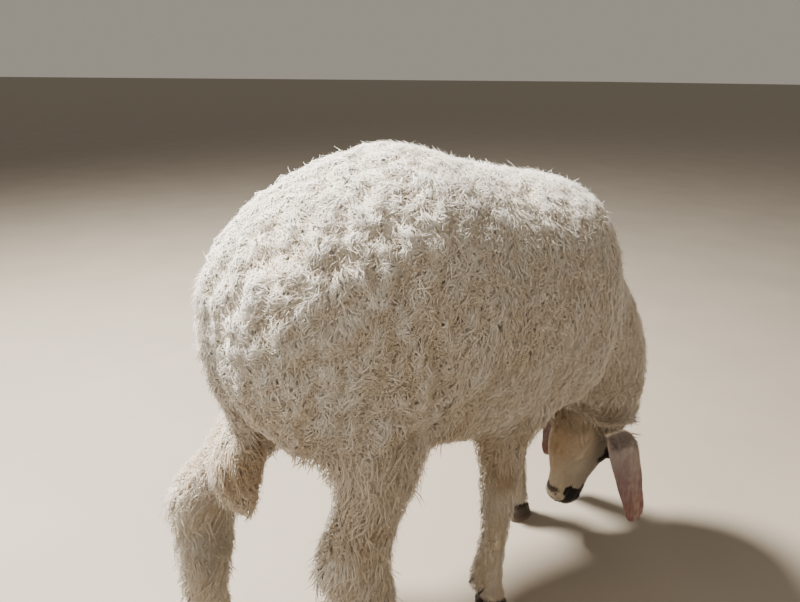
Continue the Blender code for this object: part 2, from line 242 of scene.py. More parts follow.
def closed_tube(rings, ends=None, peak=0.0):
    """Places, quads and end triangles of a tube, from its rings of places, closed by end points.

    Without ends given, they are the middles of the first and last rings, the last raised by peak.
    """
    count, sides = rings.shape[:2]
    places = rings.reshape(-1, 3)
    if ends is None:
        ends = places[:sides].mean(0), places[-sides:].mean(0) + (0.0, 0.0, peak)
    i, j = np.meshgrid(np.arange(count - 1), np.arange(sides), indexing="ij")
    k = (j + 1) % sides
    quads = np.stack((i * sides + j, i * sides + k, (i + 1) * sides + k, (i + 1) * sides + j), -1)
    first = np.arange(sides)
    last = first + (count - 1) * sides
    near, far = np.full(sides, len(places)), np.full(sides, len(places) + 1)
    caps = np.vstack((np.stack((near, np.roll(first, -1), first), 1),
                      np.stack((far, last, np.roll(last, -1)), 1)))
    return np.vstack((places, ends)), quads.reshape(-1, 4), caps


def as_triangles(quads, caps):
    return np.vstack((quads[:, [0, 1, 2]], quads[:, [0, 2, 3]], caps))


def facing_out(places, quads, caps):
    """The same faces, turned so that they point out of the closed form."""
    corners = places[as_triangles(quads, caps)] - places.mean(0)
    volume = np.einsum("ij,ij->i", corners[:, 0], np.cross(corners[:, 1], corners[:, 2])).sum()
    return (quads, caps) if volume > 0 else (quads[:, ::-1], caps[:, ::-1])


def head_form():
    """The skull, cheeks, nose and lips as a tube of rings, in head measures."""
    rows = (                      # along, brow side, jaw side, half width, roof, keel
        (-0.046, 0.000, -0.046, 0.024, 0.05, 0.10),
        (-0.028, 0.017, -0.056, 0.034, 0.00, 0.15),
        (0.002, 0.041, -0.078, 0.047, -0.08, 0.22),      # poll
        (0.042, 0.055, -0.089, 0.0535, -0.10, 0.34),     # forehead
        (0.080, 0.060, -0.093, 0.0545, -0.04, 0.44),     # eyes
        (0.115, 0.059, -0.092, 0.0495, 0.10, 0.44),      # cheek and angle of the jaw
        (0.147, 0.050, -0.079, 0.0400, 0.20, 0.36),
        (0.182, 0.034, -0.063, 0.0330, 0.20, 0.24),      # arched nose
        (0.212, 0.024, -0.057, 0.0320, 0.08, 0.18),      # nostrils
        (0.230, 0.015, -0.050, 0.0285, 0.02, 0.20),      # lips
        (0.2415, 0.003, -0.040, 0.0205, 0.00, 0.15),
        (0.2465, -0.009, -0.028, 0.0085, 0.00, 0.10),
    )
    rings, sides = 230, 168
    along, brow, jaw, half, roof, keel = through(rows, rings).T[:, :, None]
    turn = ring_turns(sides)
    fullness = 2.0 / 2.25
    across = np.sign(np.cos(turn)) * np.abs(np.cos(turn)) ** fullness
    up = np.sign(np.sin(turn)) * np.abs(np.sin(turn)) ** fullness
    narrow = 1.0 - roof * np.clip(up, 0, 1) ** 1.5 - keel * np.clip(-up, 0, 1) ** 1.4
    front = (brow + jaw) / 2 + (brow - jaw) / 2 * up
    side = half * across * narrow
    return closed_tube(np.stack(np.broadcast_arrays(along, front, side), -1),
                       ((-0.048, -0.023, 0.0), (0.2473, -0.0185, 0.0)))


def line_distance(places, line):
    """Distance from each place to a bent line through the given points."""
    best = np.full(len(places), 1.0)
    for start, end in zip(np.array(line[:-1]), np.array(line[1:])):
        along = end - start
        t = np.clip((places - start) @ along / (along @ along + 1e-12), 0.0, 1.0)
        best = np.minimum(best, np.linalg.norm(places - start - t[:, None] * along, axis=1))
    return best


def laid_on(line, places):
    """The line in short steps, each moved to the nearest of the places."""
    fine = through(line, 8 * len(line))
    return np.array([places[np.argmin(((places - point) ** 2).sum(1))] for point in fine])


SWELLINGS = (                     # along, front, side; reach each way; height
    ((0.101, 0.028, 0.0495), (0.027, 0.020, 0.022), 0.0100),     # eye socket's ring
    ((0.087, 0.041, 0.051), (0.017, 0.012, 0.014), 0.0040),      # brow over the eye
    ((0.120, 0.011, 0.052), (0.019, 0.010, 0.016), 0.0022),      # rim under the eye
    ((0.104, -0.052, 0.042), (0.030, 0.028, 0.026), 0.0052),     # jaw muscle
    ((0.133, 0.031, 0.043), (0.016, 0.010, 0.014), -0.0036),     # tear pit
    ((0.152, -0.004, 0.042), (0.036, 0.007, 0.020), 0.0024),     # cheek crest
    ((0.162, -0.046, 0.032), (0.024, 0.014, 0.020), -0.0034),    # hollow before the jaw muscle
    ((0.174, 0.015, 0.033), (0.026, 0.009, 0.016), -0.0020),     # hollow beside the nose
    ((0.226, 0.006, 0.025), (0.012, 0.010, 0.011), 0.0030),      # wing of the nostril
    ((0.222, -0.020, 0.030), (0.017, 0.008, 0.014), 0.0024),     # upper lip's pad
    ((0.228, -0.047, 0.010), (0.014, 0.010, 0.016), 0.0030),     # chin
    ((0.206, -0.054, 0.016), (0.009, 0.010, 0.014), -0.0022),    # behind the chin
    ((0.040, 0.051, 0.021), (0.020, 0.014, 0.016), 0.0030),      # frontal knobs
    ((0.047, -0.008, 0.054), (0.024, 0.022, 0.020), 0.0050),     # ear base
)
NOSTRIL = ((0.2400, 0.0040, 0.0090), (0.2340, 0.0100, 0.0180), (0.2250, 0.0120, 0.0235),
           (0.2150, 0.0080, 0.0290))
MOUTH = ((0.2470, -0.0260, 0.000), (0.2420, -0.0300, 0.0160), (0.2270, -0.0330, 0.0270),
         (0.2020, -0.0310, 0.0325))
GROOVES = (                       # line in head measures; half width; depth
    (NOSTRIL, 0.0023, 0.0064),
    (MOUTH, 0.0016, 0.0038),
    (((0.229, 0.0165, 0.000), (0.2415, 0.0030, 0.000), (0.2472, -0.0230, 0.000)),
     0.0016, 0.0030),                                            # split of the upper lip
    (((0.078, 0.047, 0.046), (0.094, 0.053, 0.050), (0.112, 0.050, 0.0485)),
     0.0018, 0.0014),                                            # fold over the upper lid
    (((0.114, 0.015, 0.052), (0.128, 0.023, 0.047), (0.140, 0.027, 0.042)),
     0.0018, 0.0014),                                            # fold from the inner corner
    (((0.132, 0.040, 0.036), (0.150, 0.030, 0.040), (0.166, 0.018, 0.038)),
     0.0030, 0.0008),                                            # vein down the face
)


def sculpt(places, outward):
    """Raise and carve the head's forms along its outward directions, alike on both sides."""
    half = places * (1.0, 1.0, 0.0) + np.abs(places) * (0.0, 0.0, 1.0)
    height = np.zeros(len(places))
    for centre, reach, amount in SWELLINGS:
        height += amount * np.exp(-(((half - centre) / reach) ** 2).sum(1))
    for line, width, depth in GROOVES:
        laid = laid_on(line, half)
        height -= depth * np.exp(-(line_distance(half, laid) / width) ** 2)
    return places + outward * height[:, None]


LID_THICKNESS, SLIT_HALF = 0.0011, 0.0128
EYE_OUT = np.array((0.10, 0.22, 0.97))           # where the eye looks: a little forward
EYE_LONG = np.array((0.92, -0.38, 0.0))          # the slit's line, its inner corner lower


def eye_axes():
    """The eye's outward way and the long and short ways of its slit, in head measures."""
    out = EYE_OUT / np.linalg.norm(EYE_OUT)
    long = EYE_LONG - out * (EYE_LONG @ out)
    long /= np.linalg.norm(long)
    short = np.cross(out, long)
    return out, long, short * np.sign(short[1])


def slit_edge(x):
    """Half height of the opening between the lids at x along it: upper lid, then lower."""
    arch = np.clip(1.0 - (x / SLIT_HALF) ** 2, 0.0, 1.0)
    return 0.0068 * arch ** 0.62, 0.0050 * arch ** 0.75


def soft_max(a, b, reach):
    """The greater of two heights, rounded where they meet within reach."""
    share = np.clip(0.5 + 0.5 * (a - b) / reach, 0.0, 1.0)
    return b + (a - b) * share + reach * share * (1.0 - share)


def set_lids(places):
    """Drape the skin over each eyeball, with an almond-shaped opening in it."""
    out, long, short = eye_axes()
    lid_radius, ball_inside = EYE_RADIUS + LID_THICKNESS, EYE_RADIUS - 0.0030
    for side in (-1, 1):
        mirror = np.array((1.0, 1.0, side))
        away = places * mirror - EYE_AT
        x, y, z = away @ long, away @ short, away @ out
        upper, lower = slit_edge(x)
        edge = np.where(y > 0, upper, lower)
        beyond = np.where(np.abs(x) > SLIT_HALF, np.hypot(np.abs(x) - SLIT_HALF, y),
                          np.abs(y) - edge)
        at_edge = (np.abs(beyond) < 0.0008) & (np.abs(x) < SLIT_HALF)
        y = np.where(at_edge, np.sign(y) * edge, y)
        inside = (beyond < 0.0) & ~at_edge
        off = np.hypot(x, y)
        fold = 0.0012 * smooth_step(beyond, 0.0, 0.004) * (y > 0)
        dome = np.where(off < lid_radius, np.sqrt(np.maximum(lid_radius ** 2 - off ** 2, 0.0)),
                        -2.0 * (off - lid_radius)) + fold
        draped = soft_max(z, dome, 0.004)
        sunk = np.sqrt(np.maximum(ball_inside ** 2 - off ** 2, 0.0))
        near = (off < 0.024) & (places[:, 2] * side > 0.015)
        z = np.where(inside, sunk, draped)
        moved = EYE_AT + x[:, None] * long + y[:, None] * short + z[:, None] * out
        places = np.where(near[:, None], moved * mirror, places)
    return places


def head_skin():
    """The finished head as places in head measures, with its quads and its end triangles.

    The head's measures are a mirrored set, so the faces are turned over for the world.
    """
    places, quads, caps = head_form()
    flow = outward_of(places, as_triangles(quads, caps))
    if ((places - places.mean(0)) * flow).sum() < 0:
        quads, caps, flow = quads[:, ::-1], caps[:, ::-1], -flow
    places = set_lids(sculpt(places, flow))
    return places, quads[:, ::-1], caps[:, ::-1]


# ---- ears ---------------------------------------------------------------------------------
# Long thin ears hang from the sides of the skull: gristle in a fold of skin, cupped towards the
# cheek, with rolled edges. They grow out of the head, so they are part of the one skin.
EAR_LENGTH, EAR_HALF_WIDTH, EAR_HALF_THICKNESS, EAR_CUP = 0.203, 0.0395, 0.0018, 5.0
EAR_ROWS = (                      # part of the length, way out, way down, part of the width
    (-0.06, -0.006, 0.000, 0.45), (0.04, 0.016, 0.003, 0.66), (0.12, 0.030, 0.016, 0.90),
    (0.25, 0.042, 0.042, 1.00), (0.45, 0.054, 0.082, 0.92), (0.65, 0.065, 0.119, 0.80),
    (0.82, 0.074, 0.152, 0.70), (0.92, 0.0785, 0.1705, 0.58), (0.98, 0.0810, 0.1815, 0.38),
    (1.00, 0.0818, 0.1850, 0.12),
)
EAR_ROW_SUM = 0.209               # length of the line through those rows


def ear_frame(side, part, across):
    """Places on the ear's middle sheet, and its outward ways, in world measures."""
    rows = through(EAR_ROWS, 400)
    out, down, width = (np.interp(part, rows[:, 0], rows[:, i]) for i in (1, 2, 3))
    scale = EAR_LENGTH / EAR_ROW_SUM
    root = to_world(EAR_AT * (1.0, 1.0, side))
    line = root + np.stack((0.03 * part, side * out * scale, -down * scale), -1)
    step = 0.01
    ahead = np.stack([np.interp(part + step, rows[:, 0], rows[:, i])
                      - np.interp(part - step, rows[:, 0], rows[:, i]) for i in (1, 2)], -1)
    along = np.stack((np.full_like(part, 0.06 * step / scale), side * ahead[..., 0],
                      -ahead[..., 1]), -1)
    along /= np.linalg.norm(along, axis=-1, keepdims=True) + 1e-9
    wide = np.array((1.0, 0.0, 0.0)) - along * along[..., :1]
    wide /= np.linalg.norm(wide, axis=-1, keepdims=True)
    outward = np.cross(wide, along) * -side
    x = across * width * EAR_HALF_WIDTH
    ripple = 0.0009 * np.sin(part * 17.0 + across * 2.0) * np.abs(across) ** 2
    trough = 0.0022 * np.exp(-(across / 0.22) ** 2) * smooth_step(part, 0.05, 0.25)
    bend = (-EAR_CUP * x * x + ripple + trough) * smooth_step(part, 0.0, 0.1)
    return line + wide * x[..., None] + outward * bend[..., None], outward


def ear_skin(side):
    """One ear as a closed flat tube, from inside the skull to the tip."""
    rings, sides = 110, 72
    part = np.linspace(-0.06, 0.999, rings)[:, None] * np.ones(sides)
    turn = ring_turns(sides) * np.ones((rings, 1))
    across = np.cos(turn)
    sheet, outward = ear_frame(side, part, across)
    stout = EAR_HALF_THICKNESS * (1.0 + 2.2 * (1.0 - smooth_step(part, 0.0, 0.16)))
    lift = np.sin(turn) * stout * (1.0 + 0.35 * smooth_step(np.abs(across), 0.75, 0.93))
    tube = closed_tube(sheet + outward * lift[..., None])
    return mesh_object(f"ear_form_{side}", tube[0], *facing_out(*tube))


# ---- body skin ----------------------------------------------------------------------------
# The skin of trunk, neck, tail and legs lies inside the solids by the depth of the wool: deep on
# the back and rump, shallow in front of the cannon bones, deep again in the feather behind them.
FLESH = [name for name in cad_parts
         if name.split("_")[0] in ("trunk", "neck", "head", "tail", "leg", "shank")]
SKIN_GRAIN = 0.0058                # size of the skin's faces
CUT_CLOSING = 0.0007               # swells each solid, to close the thin cuts between them
WOOL_SHARE = 0.36                  # the most of a part's thickness that the wool takes up
KNEE_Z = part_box("shank_fore_right")[1].z
HOCK_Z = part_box("shank_hind_right")[1].z
THIGH_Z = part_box("leg_hind_right")[1].z
ELBOW_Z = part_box("leg_fore_right")[1].z
PASTERN_Z = 0.075


def coat_depth(places, outward, label):
    """How deep the wool lies at each place, by the part of the body and the way it faces."""
    z = places[:, 2]
    depth = np.full(len(places), 0.0110)
    belly = smooth_step(-outward[:, 2], 0.2, 0.9)
    depth = np.where(label == "trunk", 0.0110 - 0.002 * belly, depth)
    from_poll = np.linalg.norm(places - (POLL - FRONT * 0.02), axis=1)
    depth = np.where(label == "neck", 0.0105 + 0.003 * smooth_step(from_poll, 0.06, 0.15), depth)
    depth = np.where(label == "head", 0.020, depth)      # stays inside the finer head
    depth = np.where(label == "tail", 0.013, depth)
    behind = np.clip(-outward[:, 0], 0.0, 1.0)
    hind = 0.011 + 0.008 * behind + 0.012 * smooth_step(z, HOCK_Z + 0.04, THIGH_Z)
    fore = 0.007 + 0.006 * behind + 0.014 * smooth_step(z, KNEE_Z + 0.05, ELBOW_Z)
    hind_shank = 0.006 + 0.016 * behind
    fore_shank = 0.0028 + 0.012 * behind ** 1.5 + 0.003 * smooth_step(z, KNEE_Z - 0.05, KNEE_Z)
    for name, value in (("leg_hind", hind), ("leg_fore", fore),
                        ("shank_hind", hind_shank), ("shank_fore", fore_shank)):
        depth = np.where(np.char.startswith(label, name), value, depth)
    low = 1.0 - smooth_step(z, PASTERN_Z - 0.015, PASTERN_Z + 0.02)
    legs = np.char.startswith(label, "shank")
    return np.where(legs, depth * (1.0 - low) + 0.0028 * low, depth)


def finished_mesh(changed):
    """The mesh of an object with its modifiers applied."""
    seen = changed.evaluated_get(bpy.context.evaluated_depsgraph_get())
    return bpy.data.meshes.new_from_object(seen)


def melted_solids():
    """The flesh solids melted into one closed surface, with the solid that each place lies on.

    The eyes are melted in too, as they fill the sockets in the head.
    """
    all_places, all_triangles, owner, count = [], [], [], 0
    for name in FLESH + ["eye_left", "eye_right"]:
        places, _, triangles = read_mesh(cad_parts[name].data)
        welded, index = np.unique(np.round(places, 6), axis=0, return_inverse=True)
        triangles = index.ravel()[triangles]
        triangles = triangles[(triangles != np.roll(triangles, -1, axis=1)).all(1)]
        all_places.append(welded + outward_of(welded, triangles) * CUT_CLOSING)
        all_triangles.append(triangles + count)
        owner += ["head" if name.startswith("eye") else name] * len(triangles)
        count += len(welded)
    places, triangles = np.vstack(all_places), np.vstack(all_triangles)
    joined = mesh_object("melted", places, triangles)
    melt = joined.modifiers.new("melt", "REMESH")
    melt.mode, melt.voxel_size = "VOXEL", SKIN_GRAIN
    mesh = finished_mesh(joined)
    bpy.data.objects.remove(joined)
    tree = BVHTree.FromPolygons(places.tolist(), triangles.tolist())
    return mesh, tree, np.array(owner)


def body_skin():
    """Skin places, their outward ways, wool depths and parts, and the skin's faces."""
    mesh, tree, owner = melted_solids()
    places, edges, triangles = read_mesh(mesh)
    places = relax(places, edges, 14)
    outward = relax(outward_of(places, triangles), edges, 4, back=0.0)
    outward /= np.linalg.norm(outward, axis=1, keepdims=True)
    label = owner[[tree.find_nearest(p)[2] for p in places.tolist()]]
    own = BVHTree.FromPolygons(places.tolist(), triangles.tolist())
    thick = np.array([own.ray_cast(p, d, 0.30)[3] or 0.30 for p, d in
                      zip((places - outward * 0.0008).tolist(), (-outward).tolist())])
    depth = np.minimum(coat_depth(places, outward, label), WOOL_SHARE * thick)
    depth = relax(depth[:, None], edges, 18, back=0.0)[:, 0]
    skin = relax(places - outward * depth[:, None], edges, 4, back=0.0)
    away = places - skin
    depth = np.maximum(np.linalg.norm(away, axis=1), 1e-4)
    return {"place": skin, "outward": away / depth[:, None], "depth": depth, "label": label,
            "triangles": triangles}, mesh


def join_by(base, other):
    """Join another closed form to the base, and remove it."""
    step = base.modifiers.new("join", "BOOLEAN")
    step.operation, step.solver, step.object = "UNION", "MANIFOLD", other
    mesh = finished_mesh(base)
    base.modifiers.clear()
    base.data = mesh
    bpy.data.objects.remove(other)


body, body_mesh = body_skin()
body_mesh.vertices.foreach_set("co", body["place"].astype(np.float32).ravel())
body_mesh.update()
skin = bpy.data.objects.new("skin", body_mesh)
bpy.context.scene.collection.objects.link(skin)
face_places, face_quads, face_caps = head_skin()
join_by(skin, mesh_object("head_form", to_world(face_places), face_quads, face_caps))
for ear_side in (-1, 1):
    join_by(skin, ear_skin(ear_side))
skin.data.shade_smooth()
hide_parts(*FLESH, "ear_left", "ear_right")
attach(skin, "root")
print("skin", len(skin.data.polygons))


# ---- markings -----------------------------------------------------------------------------
# White hair, with a black patch round each eye and over the nostrils and lips, tan on the throat,
# a painted shadow at the angle of the jaw, and pink skin showing through on the ears, the chin and
# the knees. The fleece is cream over the back and tan lower down, where it is partly stained wool
# and partly painted shade, with a brown band of painted shade under the belly. Skin and coat read
# the same colours at the same places.
WAVE_COUNT, WAVE_SPREAD = 10, 2.6   # waves summed to one noise, and what brings it to 1


def wander(places, size, seed):
    """Smooth noise between about -1 and 1, whose patches are about size across."""
    draw = np.random.default_rng(seed)
    total = np.zeros(len(places))
    for _ in range(WAVE_COUNT):
        way = draw.normal(size=3)
        way *= 2.0 * math.pi / (size * draw.uniform(1.3, 3.2)) / np.linalg.norm(way)
        total += np.sin(places @ way + draw.uniform(0.0, 2.0 * math.pi))
    return total / WAVE_SPREAD


def mix(base, top, share):
    """Blend rows of colours towards another colour by a share for each row."""
    share = np.clip(share, 0.0, 1.0)[:, None]
    return base * (1.0 - share) + top * share


CREAM, TAN, BROWN = linear("#F5EEE2"), linear("#DAC8AC"), linear("#B3956F")
FACE_WHITE, FACE_GREY, FACE_TAN = linear("#DCD0BC"), linear("#B5AFA2"), linear("#BCA78C")
FACE_ORANGE, BLACK = linear("#BC9C74"), linear("#100C0B")
LIP_BROWN, PINK, EAR_GREY = linear("#37271F"), linear("#D3A597"), linear("#A29694")
EAR_MAUVE, EAR_RED = linear("#8C7072"), linear("#8C5A54")
DUST = linear("#8E918C")


def head_markings(places):
    """Colours of the head's skin and hair at these world places."""
    a, f, s = to_head(places).T
    s = np.abs(s)
    rough = wander(places, 0.012, 11) * 0.0042 + wander(places, 0.005, 12) * 0.0024
    fine = wander(places, 0.004, 14)
    colour = mix(np.broadcast_to(FACE_WHITE, places.shape), FACE_GREY,
                 0.45 * smooth_step(s, 0.020, 0.045) * smooth_step(f, -0.060, -0.010)
                 + 0.15 * wander(places, 0.03, 13))
    throat = smooth_step(-f - 0.35 * a, -0.030, 0.055)
    colour = mix(colour, FACE_TAN, 0.85 * throat + 0.10 * wander(places, 0.025, 15))
    jaw = (smooth_step(-f, 0.058, 0.085) * smooth_step(a, 0.03, 0.08)
           * (1.0 - smooth_step(a, 0.15, 0.20)))
    colour = mix(colour, FACE_ORANGE, 0.45 * jaw)
    shadow = np.exp(-((a - 0.060) / 0.006) ** 2 - ((f + 0.060) / 0.009) ** 2)
    colour = mix(colour, BROWN, 0.35 * shadow)
    pale = smooth_step(a, 0.150, 0.200) * smooth_step(-f, 0.020, 0.045)
    colour = mix(colour, FACE_TAN, 0.35 * pale + 0.10 * fine)
    eye_off = np.sqrt(((a - 0.111) / 1.10) ** 2 + (f - 0.022) ** 2 + ((s - 0.048) * 0.7) ** 2)
    colour = mix(colour, BLACK, smooth_step(0.0240 - eye_off + rough, -0.0006, 0.0010))
    top = 0.0135 + 0.0035 * wander(places, 0.007, 16)
    nose = np.minimum.reduce((a - 0.1950 + 0.10 * f + 1.2 * rough,
                              top - f + 0.5 * smooth_step(a, 0.228, 0.236),
                              f + 0.040 + 0.6 * rough + 0.5 * smooth_step(a, 0.238, 0.244)))
    colour = mix(colour, BLACK, smooth_step(nose, -0.0006, 0.0010))
    rim = np.minimum(a - 0.2330 + 0.004 * fine, -f - 0.010)
    colour = mix(colour, LIP_BROWN, 0.9 * smooth_step(rim, -0.0010, 0.0030))
    chin = 0.008 - np.sqrt(((a - 0.2140) / 1.1) ** 2 + ((f + 0.055) / 0.9) ** 2) + 0.5 * rough
    colour = mix(colour, LIP_BROWN, 0.9 * smooth_step(chin, -0.0006, 0.0015))
    return colour


def in_head(places):
    """Whether each place of the skin lies on the head, ears left out."""
    a, f, s = to_head(places).T
    return (a > 0.004) & (a < 0.26) & (f > -0.115) & (f < 0.085) & (np.abs(s) < 0.068)


def ear_share(places):
    """How far down an ear each place lies, and whether it lies on an ear at all."""
    rows = np.array(EAR_ROWS)
    scale = EAR_LENGTH / EAR_ROW_SUM
    root = to_world(EAR_AT)
    hang = np.interp((root[2] - places[:, 2]) / scale, rows[:, 2], rows[:, 0])
    out_at = np.abs(root[1]) + scale * np.interp(hang, rows[:, 0], rows[:, 1])
    off = np.abs(places[:, 1])
    on_ear = (off > 0.066) & (np.abs(off - out_at) < 0.020) & (places[:, 2] < root[2] + 0.012)
    on_ear &= np.abs(places[:, 0] - root[0] - 0.015) < 0.058
    return np.clip(hang, 0.0, 1.0), on_ear


def ear_markings(places):
    """Greyish mauve at the top of the ear, mauve pink below, red towards the tip."""
    hang, _ = ear_share(places)
    colour = mix(np.broadcast_to(EAR_GREY, places.shape), EAR_MAUVE,
                 smooth_step(hang, 0.20, 0.48) + 0.20 * wander(places, 0.02, 21))
    colour = mix(colour, EAR_RED, smooth_step(hang, 0.50, 0.92) + 0.12 * wander(places, 0.012, 22))
    front = np.exp(-((places[:, 0] - to_world(EAR_AT)[0] - 0.034) / 0.014) ** 2)
    return mix(colour, FACE_WHITE, 0.22 * front + 0.08 * wander(places, 0.006, 23))


def wool_markings(places):
    """Cream over the back, tan low on the flank, belly and legs, partly stained wool and partly
    painted shade, with brown stains low down, a brown band of painted shade under the belly, and
    brown on the low rump that is partly stains and partly painted shade.
    """
    z = places[:, 2]
    # Tan lower down: partly stained wool, partly painted shade that darkens the lower body.
    low = 1.0 - smooth_step(z, 0.30, 0.74)
    stain_and_shade = 0.60 * low + 0.22 * wander(places, 0.07, 31) + 0.12 * wander(places, 0.020, 32)
    colour = mix(np.broadcast_to(CREAM, places.shape), TAN, stain_and_shade)
    # Painted shade: a brown band under the belly, where shade falls; the random brown patches low
    # down are stains.
    under = (1.0 - smooth_step(z, 0.40, 0.52)) * smooth_step(z, 0.27, 0.36)
    colour = mix(colour, BROWN, 0.40 * under + 0.20 * wander(places, 0.05, 33) * low)
    # Brown on the low rump: partly stains, partly painted shade.
    seat_stain_and_shade = np.linalg.norm((places[:, [0, 2]] - (-0.36, 0.46)) / (0.13, 0.15), axis=1)
    colour = mix(colour, BROWN, 0.45 * (1.0 - smooth_step(seat_stain_and_shade, 0.3, 1.1)))
    colour = mix(colour, CREAM, 0.45 * smooth_step(places[:, 0], 0.02, 0.16))
    hock = np.linalg.norm((places - (-0.40, 0.10, 0.20)) / (0.06, 0.08, 0.07), axis=1)
    colour = mix(colour, DUST, 0.55 * (1.0 - smooth_step(hock, 0.4, 1.0)))
    knee = np.linalg.norm(places - (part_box("shank_fore_right")[1]
                                    - Vector((0.0, 0.02, 0.01))), axis=1)
    return mix(colour, PINK, 0.6 * (1.0 - smooth_step(knee, 0.010, 0.030)))


def markings(places, on_head, on_ear):
    colour = wool_markings(places)
    colour = np.where(on_head[:, None], head_markings(places), colour)
    return np.clip(np.where(on_ear[:, None], ear_markings(places), colour), 0.0, 1.0)


def store(mesh, name, kind, domain, field, values):
    """Store a value for each vertex or corner, for the material or the shading to read."""
    data = mesh.attributes.new(name, kind, domain).data
    data.foreach_set(field, values.astype(np.float32).ravel())


def paint(mesh, colours):
    """Store a colour for each vertex, which the material reads as tint."""
    store(mesh, "tint", "FLOAT_COLOR", "POINT", "color",
          np.hstack((colours, np.ones((len(colours), 1)))))


def toned(tree, colour, grain, dark, light):
    """The colour made darker and lighter by a noise, between two shares of itself."""
    share = add(tree, "MapRange", {"Value": grain, "From Min": 0.3, "From Max": 0.7,
                                   "To Min": dark, "To Max": light}).outputs["Result"]
    return add(tree, "VectorMath", {0: colour, 1: share}, operation="MULTIPLY").outputs["Vector"]


def hair_look(tree, shader, colour, hair):
    """Give the shader its colour, and the hairs their relief of 0.6 mm at most."""
    tree.links.new(colour, shader.inputs["Base Color"])
    bump = add(tree, "Bump", {"Height": hair, "Strength": 0.35, "Distance": 0.0006})
    tree.links.new(bump.outputs["Normal"], shader.inputs["Normal"])


def skin_material():
    """Skin under short flat hair: dull, slightly oily, with a hair grain about 1 mm wide."""
    made, tree, shader = material("skin_under_short_hair", Roughness=0.68, IOR=1.42,
                                  Subsurface_Weight=0.08, Subsurface_Scale=0.006,
                                  Sheen_Weight=0.25)
    place = add(tree, "TexCoord").outputs["Object"]
    tint = add(tree, "Attribute", attribute_name="tint").outputs["Color"]
    long_way = add(tree, "Mapping", {"Vector": place, "Scale": (1.0, 1.0, 0.22)}).outputs["Vector"]
    hair = add(tree, "TexNoise", {"Vector": long_way, "Scale": 900.0, "Detail": 3.0}).outputs["Fac"]
    patch = add(tree, "TexNoise", {"Vector": place, "Scale": 140.0, "Detail": 5.0}).outputs["Fac"]
    hairy = toned(tree, tint, hair, 0.78, 1.10)
    hair_look(tree, shader, toned(tree, hairy, patch, 0.90, 1.06), hair)
    return made


skin_places = read_mesh(skin.data)[0]
paint(skin.data, markings(skin_places, in_head(skin_places), ear_share(skin_places)[1]))
skin.data.materials.clear()
skin.data.materials.append(skin_material())


# ---- eyes ---------------------------------------------------------------------------------
# A sheep's eye is a wet dark amber ball with a wide level pupil. Only the part between the lids
# shows, so iris, pupil and the dark rim of the white are zones of one polished ball.
PUPIL_HALF_LENGTH, PUPIL_HALF_HEIGHT = 0.0052, 0.0021
CORNEA_RADIUS, CORNEA_RISE = 0.0088, 0.0009


def eye_material():
    """Moist cornea over an amber brown iris: smooth as glass, with fine spokes in the iris."""
    made, tree, shader = material("moist_eye", Roughness=0.06, IOR=1.38,
                                  Coat_Weight=1.0, Coat_Roughness=0.02)
    place = add(tree, "TexCoord").outputs["Object"]
    split = add(tree, "SeparateXYZ", {"Vector": place})
    off = add(tree, "VectorMath", {0: place, 1: (1.0, 1.0, 0.0)},
              operation="MULTIPLY").outputs["Vector"]
    reach = add(tree, "VectorMath", {0: off}, operation="LENGTH").outputs["Value"]
    spokes = add(tree, "TexNoise", {"Vector": off, "Scale": 700.0, "Detail": 3.0}).outputs["Fac"]
    iris = add(tree, "ValToRGB", {"Fac": spokes})
    iris.color_ramp.elements[0].color = rgba("#3A2110")
    iris.color_ramp.elements[1].color = rgba("#9A6A2C")
    iris.color_ramp.elements[0].position, iris.color_ramp.elements[1].position = 0.35, 0.70
    rim = add(tree, "MapRange", {"Value": reach, "From Min": 0.0078,
                                 "From Max": 0.0090}).outputs["Result"]
    ball = add(tree, "MixRGB", {"Fac": rim, "Color1": iris.outputs["Color"],
                                "Color2": rgba("#2A1C16")})
    long, tall = (add(tree, "Math", {0: split.outputs[axis], 1: half},
                      operation="DIVIDE").outputs["Value"]
                  for axis, half in (("X", PUPIL_HALF_LENGTH), ("Y", PUPIL_HALF_HEIGHT)))
    long, tall = (add(tree, "Math", {0: way, 1: 4.0}, operation="POWER").outputs["Value"]
                  for way in (long, tall))
    both = add(tree, "Math", {0: long, 1: tall}, operation="ADD").outputs["Value"]
    pupil = add(tree, "MapRange", {"Value": both, "From Min": 0.8, "From Max": 1.3,
                                   "To Min": 1.0, "To Max": 0.0}).outputs["Result"]
    seen = add(tree, "MixRGB", {"Fac": pupil, "Color1": ball.outputs["Color"],
                                "Color2": rgba("#050507")})
    tree.links.new(seen.outputs["Color"], shader.inputs["Base Color"])
    return made


eye_finish = eye_material()
eye_out, eye_long, eye_short = eye_axes()
for label, side in (("right", -1), ("left", 1)):
    mirror = np.array((1.0, 1.0, side))
    ways = [to_world(way * mirror) - POLL for way in (eye_long, eye_short, eye_out)]
    if side > 0:
        ways[0] = -ways[0]
    bm = bmesh.new()
    bmesh.ops.create_uvsphere(bm, u_segments=64, v_segments=48, radius=EYE_RADIUS)
    for vertex in bm.verts:                          # the cornea bulges over the iris
        off = math.hypot(vertex.co.x, vertex.co.y)
        if vertex.co.z > 0.0:
            vertex.co.z += CORNEA_RISE * float(1.0 - smooth_step(off, 0.0, CORNEA_RADIUS))
    mesh = bpy.data.meshes.new(f"eye_ball_{label}")
    bm.to_mesh(mesh)
    bm.free()
    mesh.shade_smooth()
    mesh.materials.append(eye_finish)
    ball = bpy.data.objects.new(f"eye_ball_{label}", mesh)
    ball.matrix_world = Matrix.Translation(EYES[label]) @ Matrix(ways).transposed().to_4x4()
    bpy.context.scene.collection.objects.link(ball)
    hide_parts(f"eye_{label}")
    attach(ball, "root")


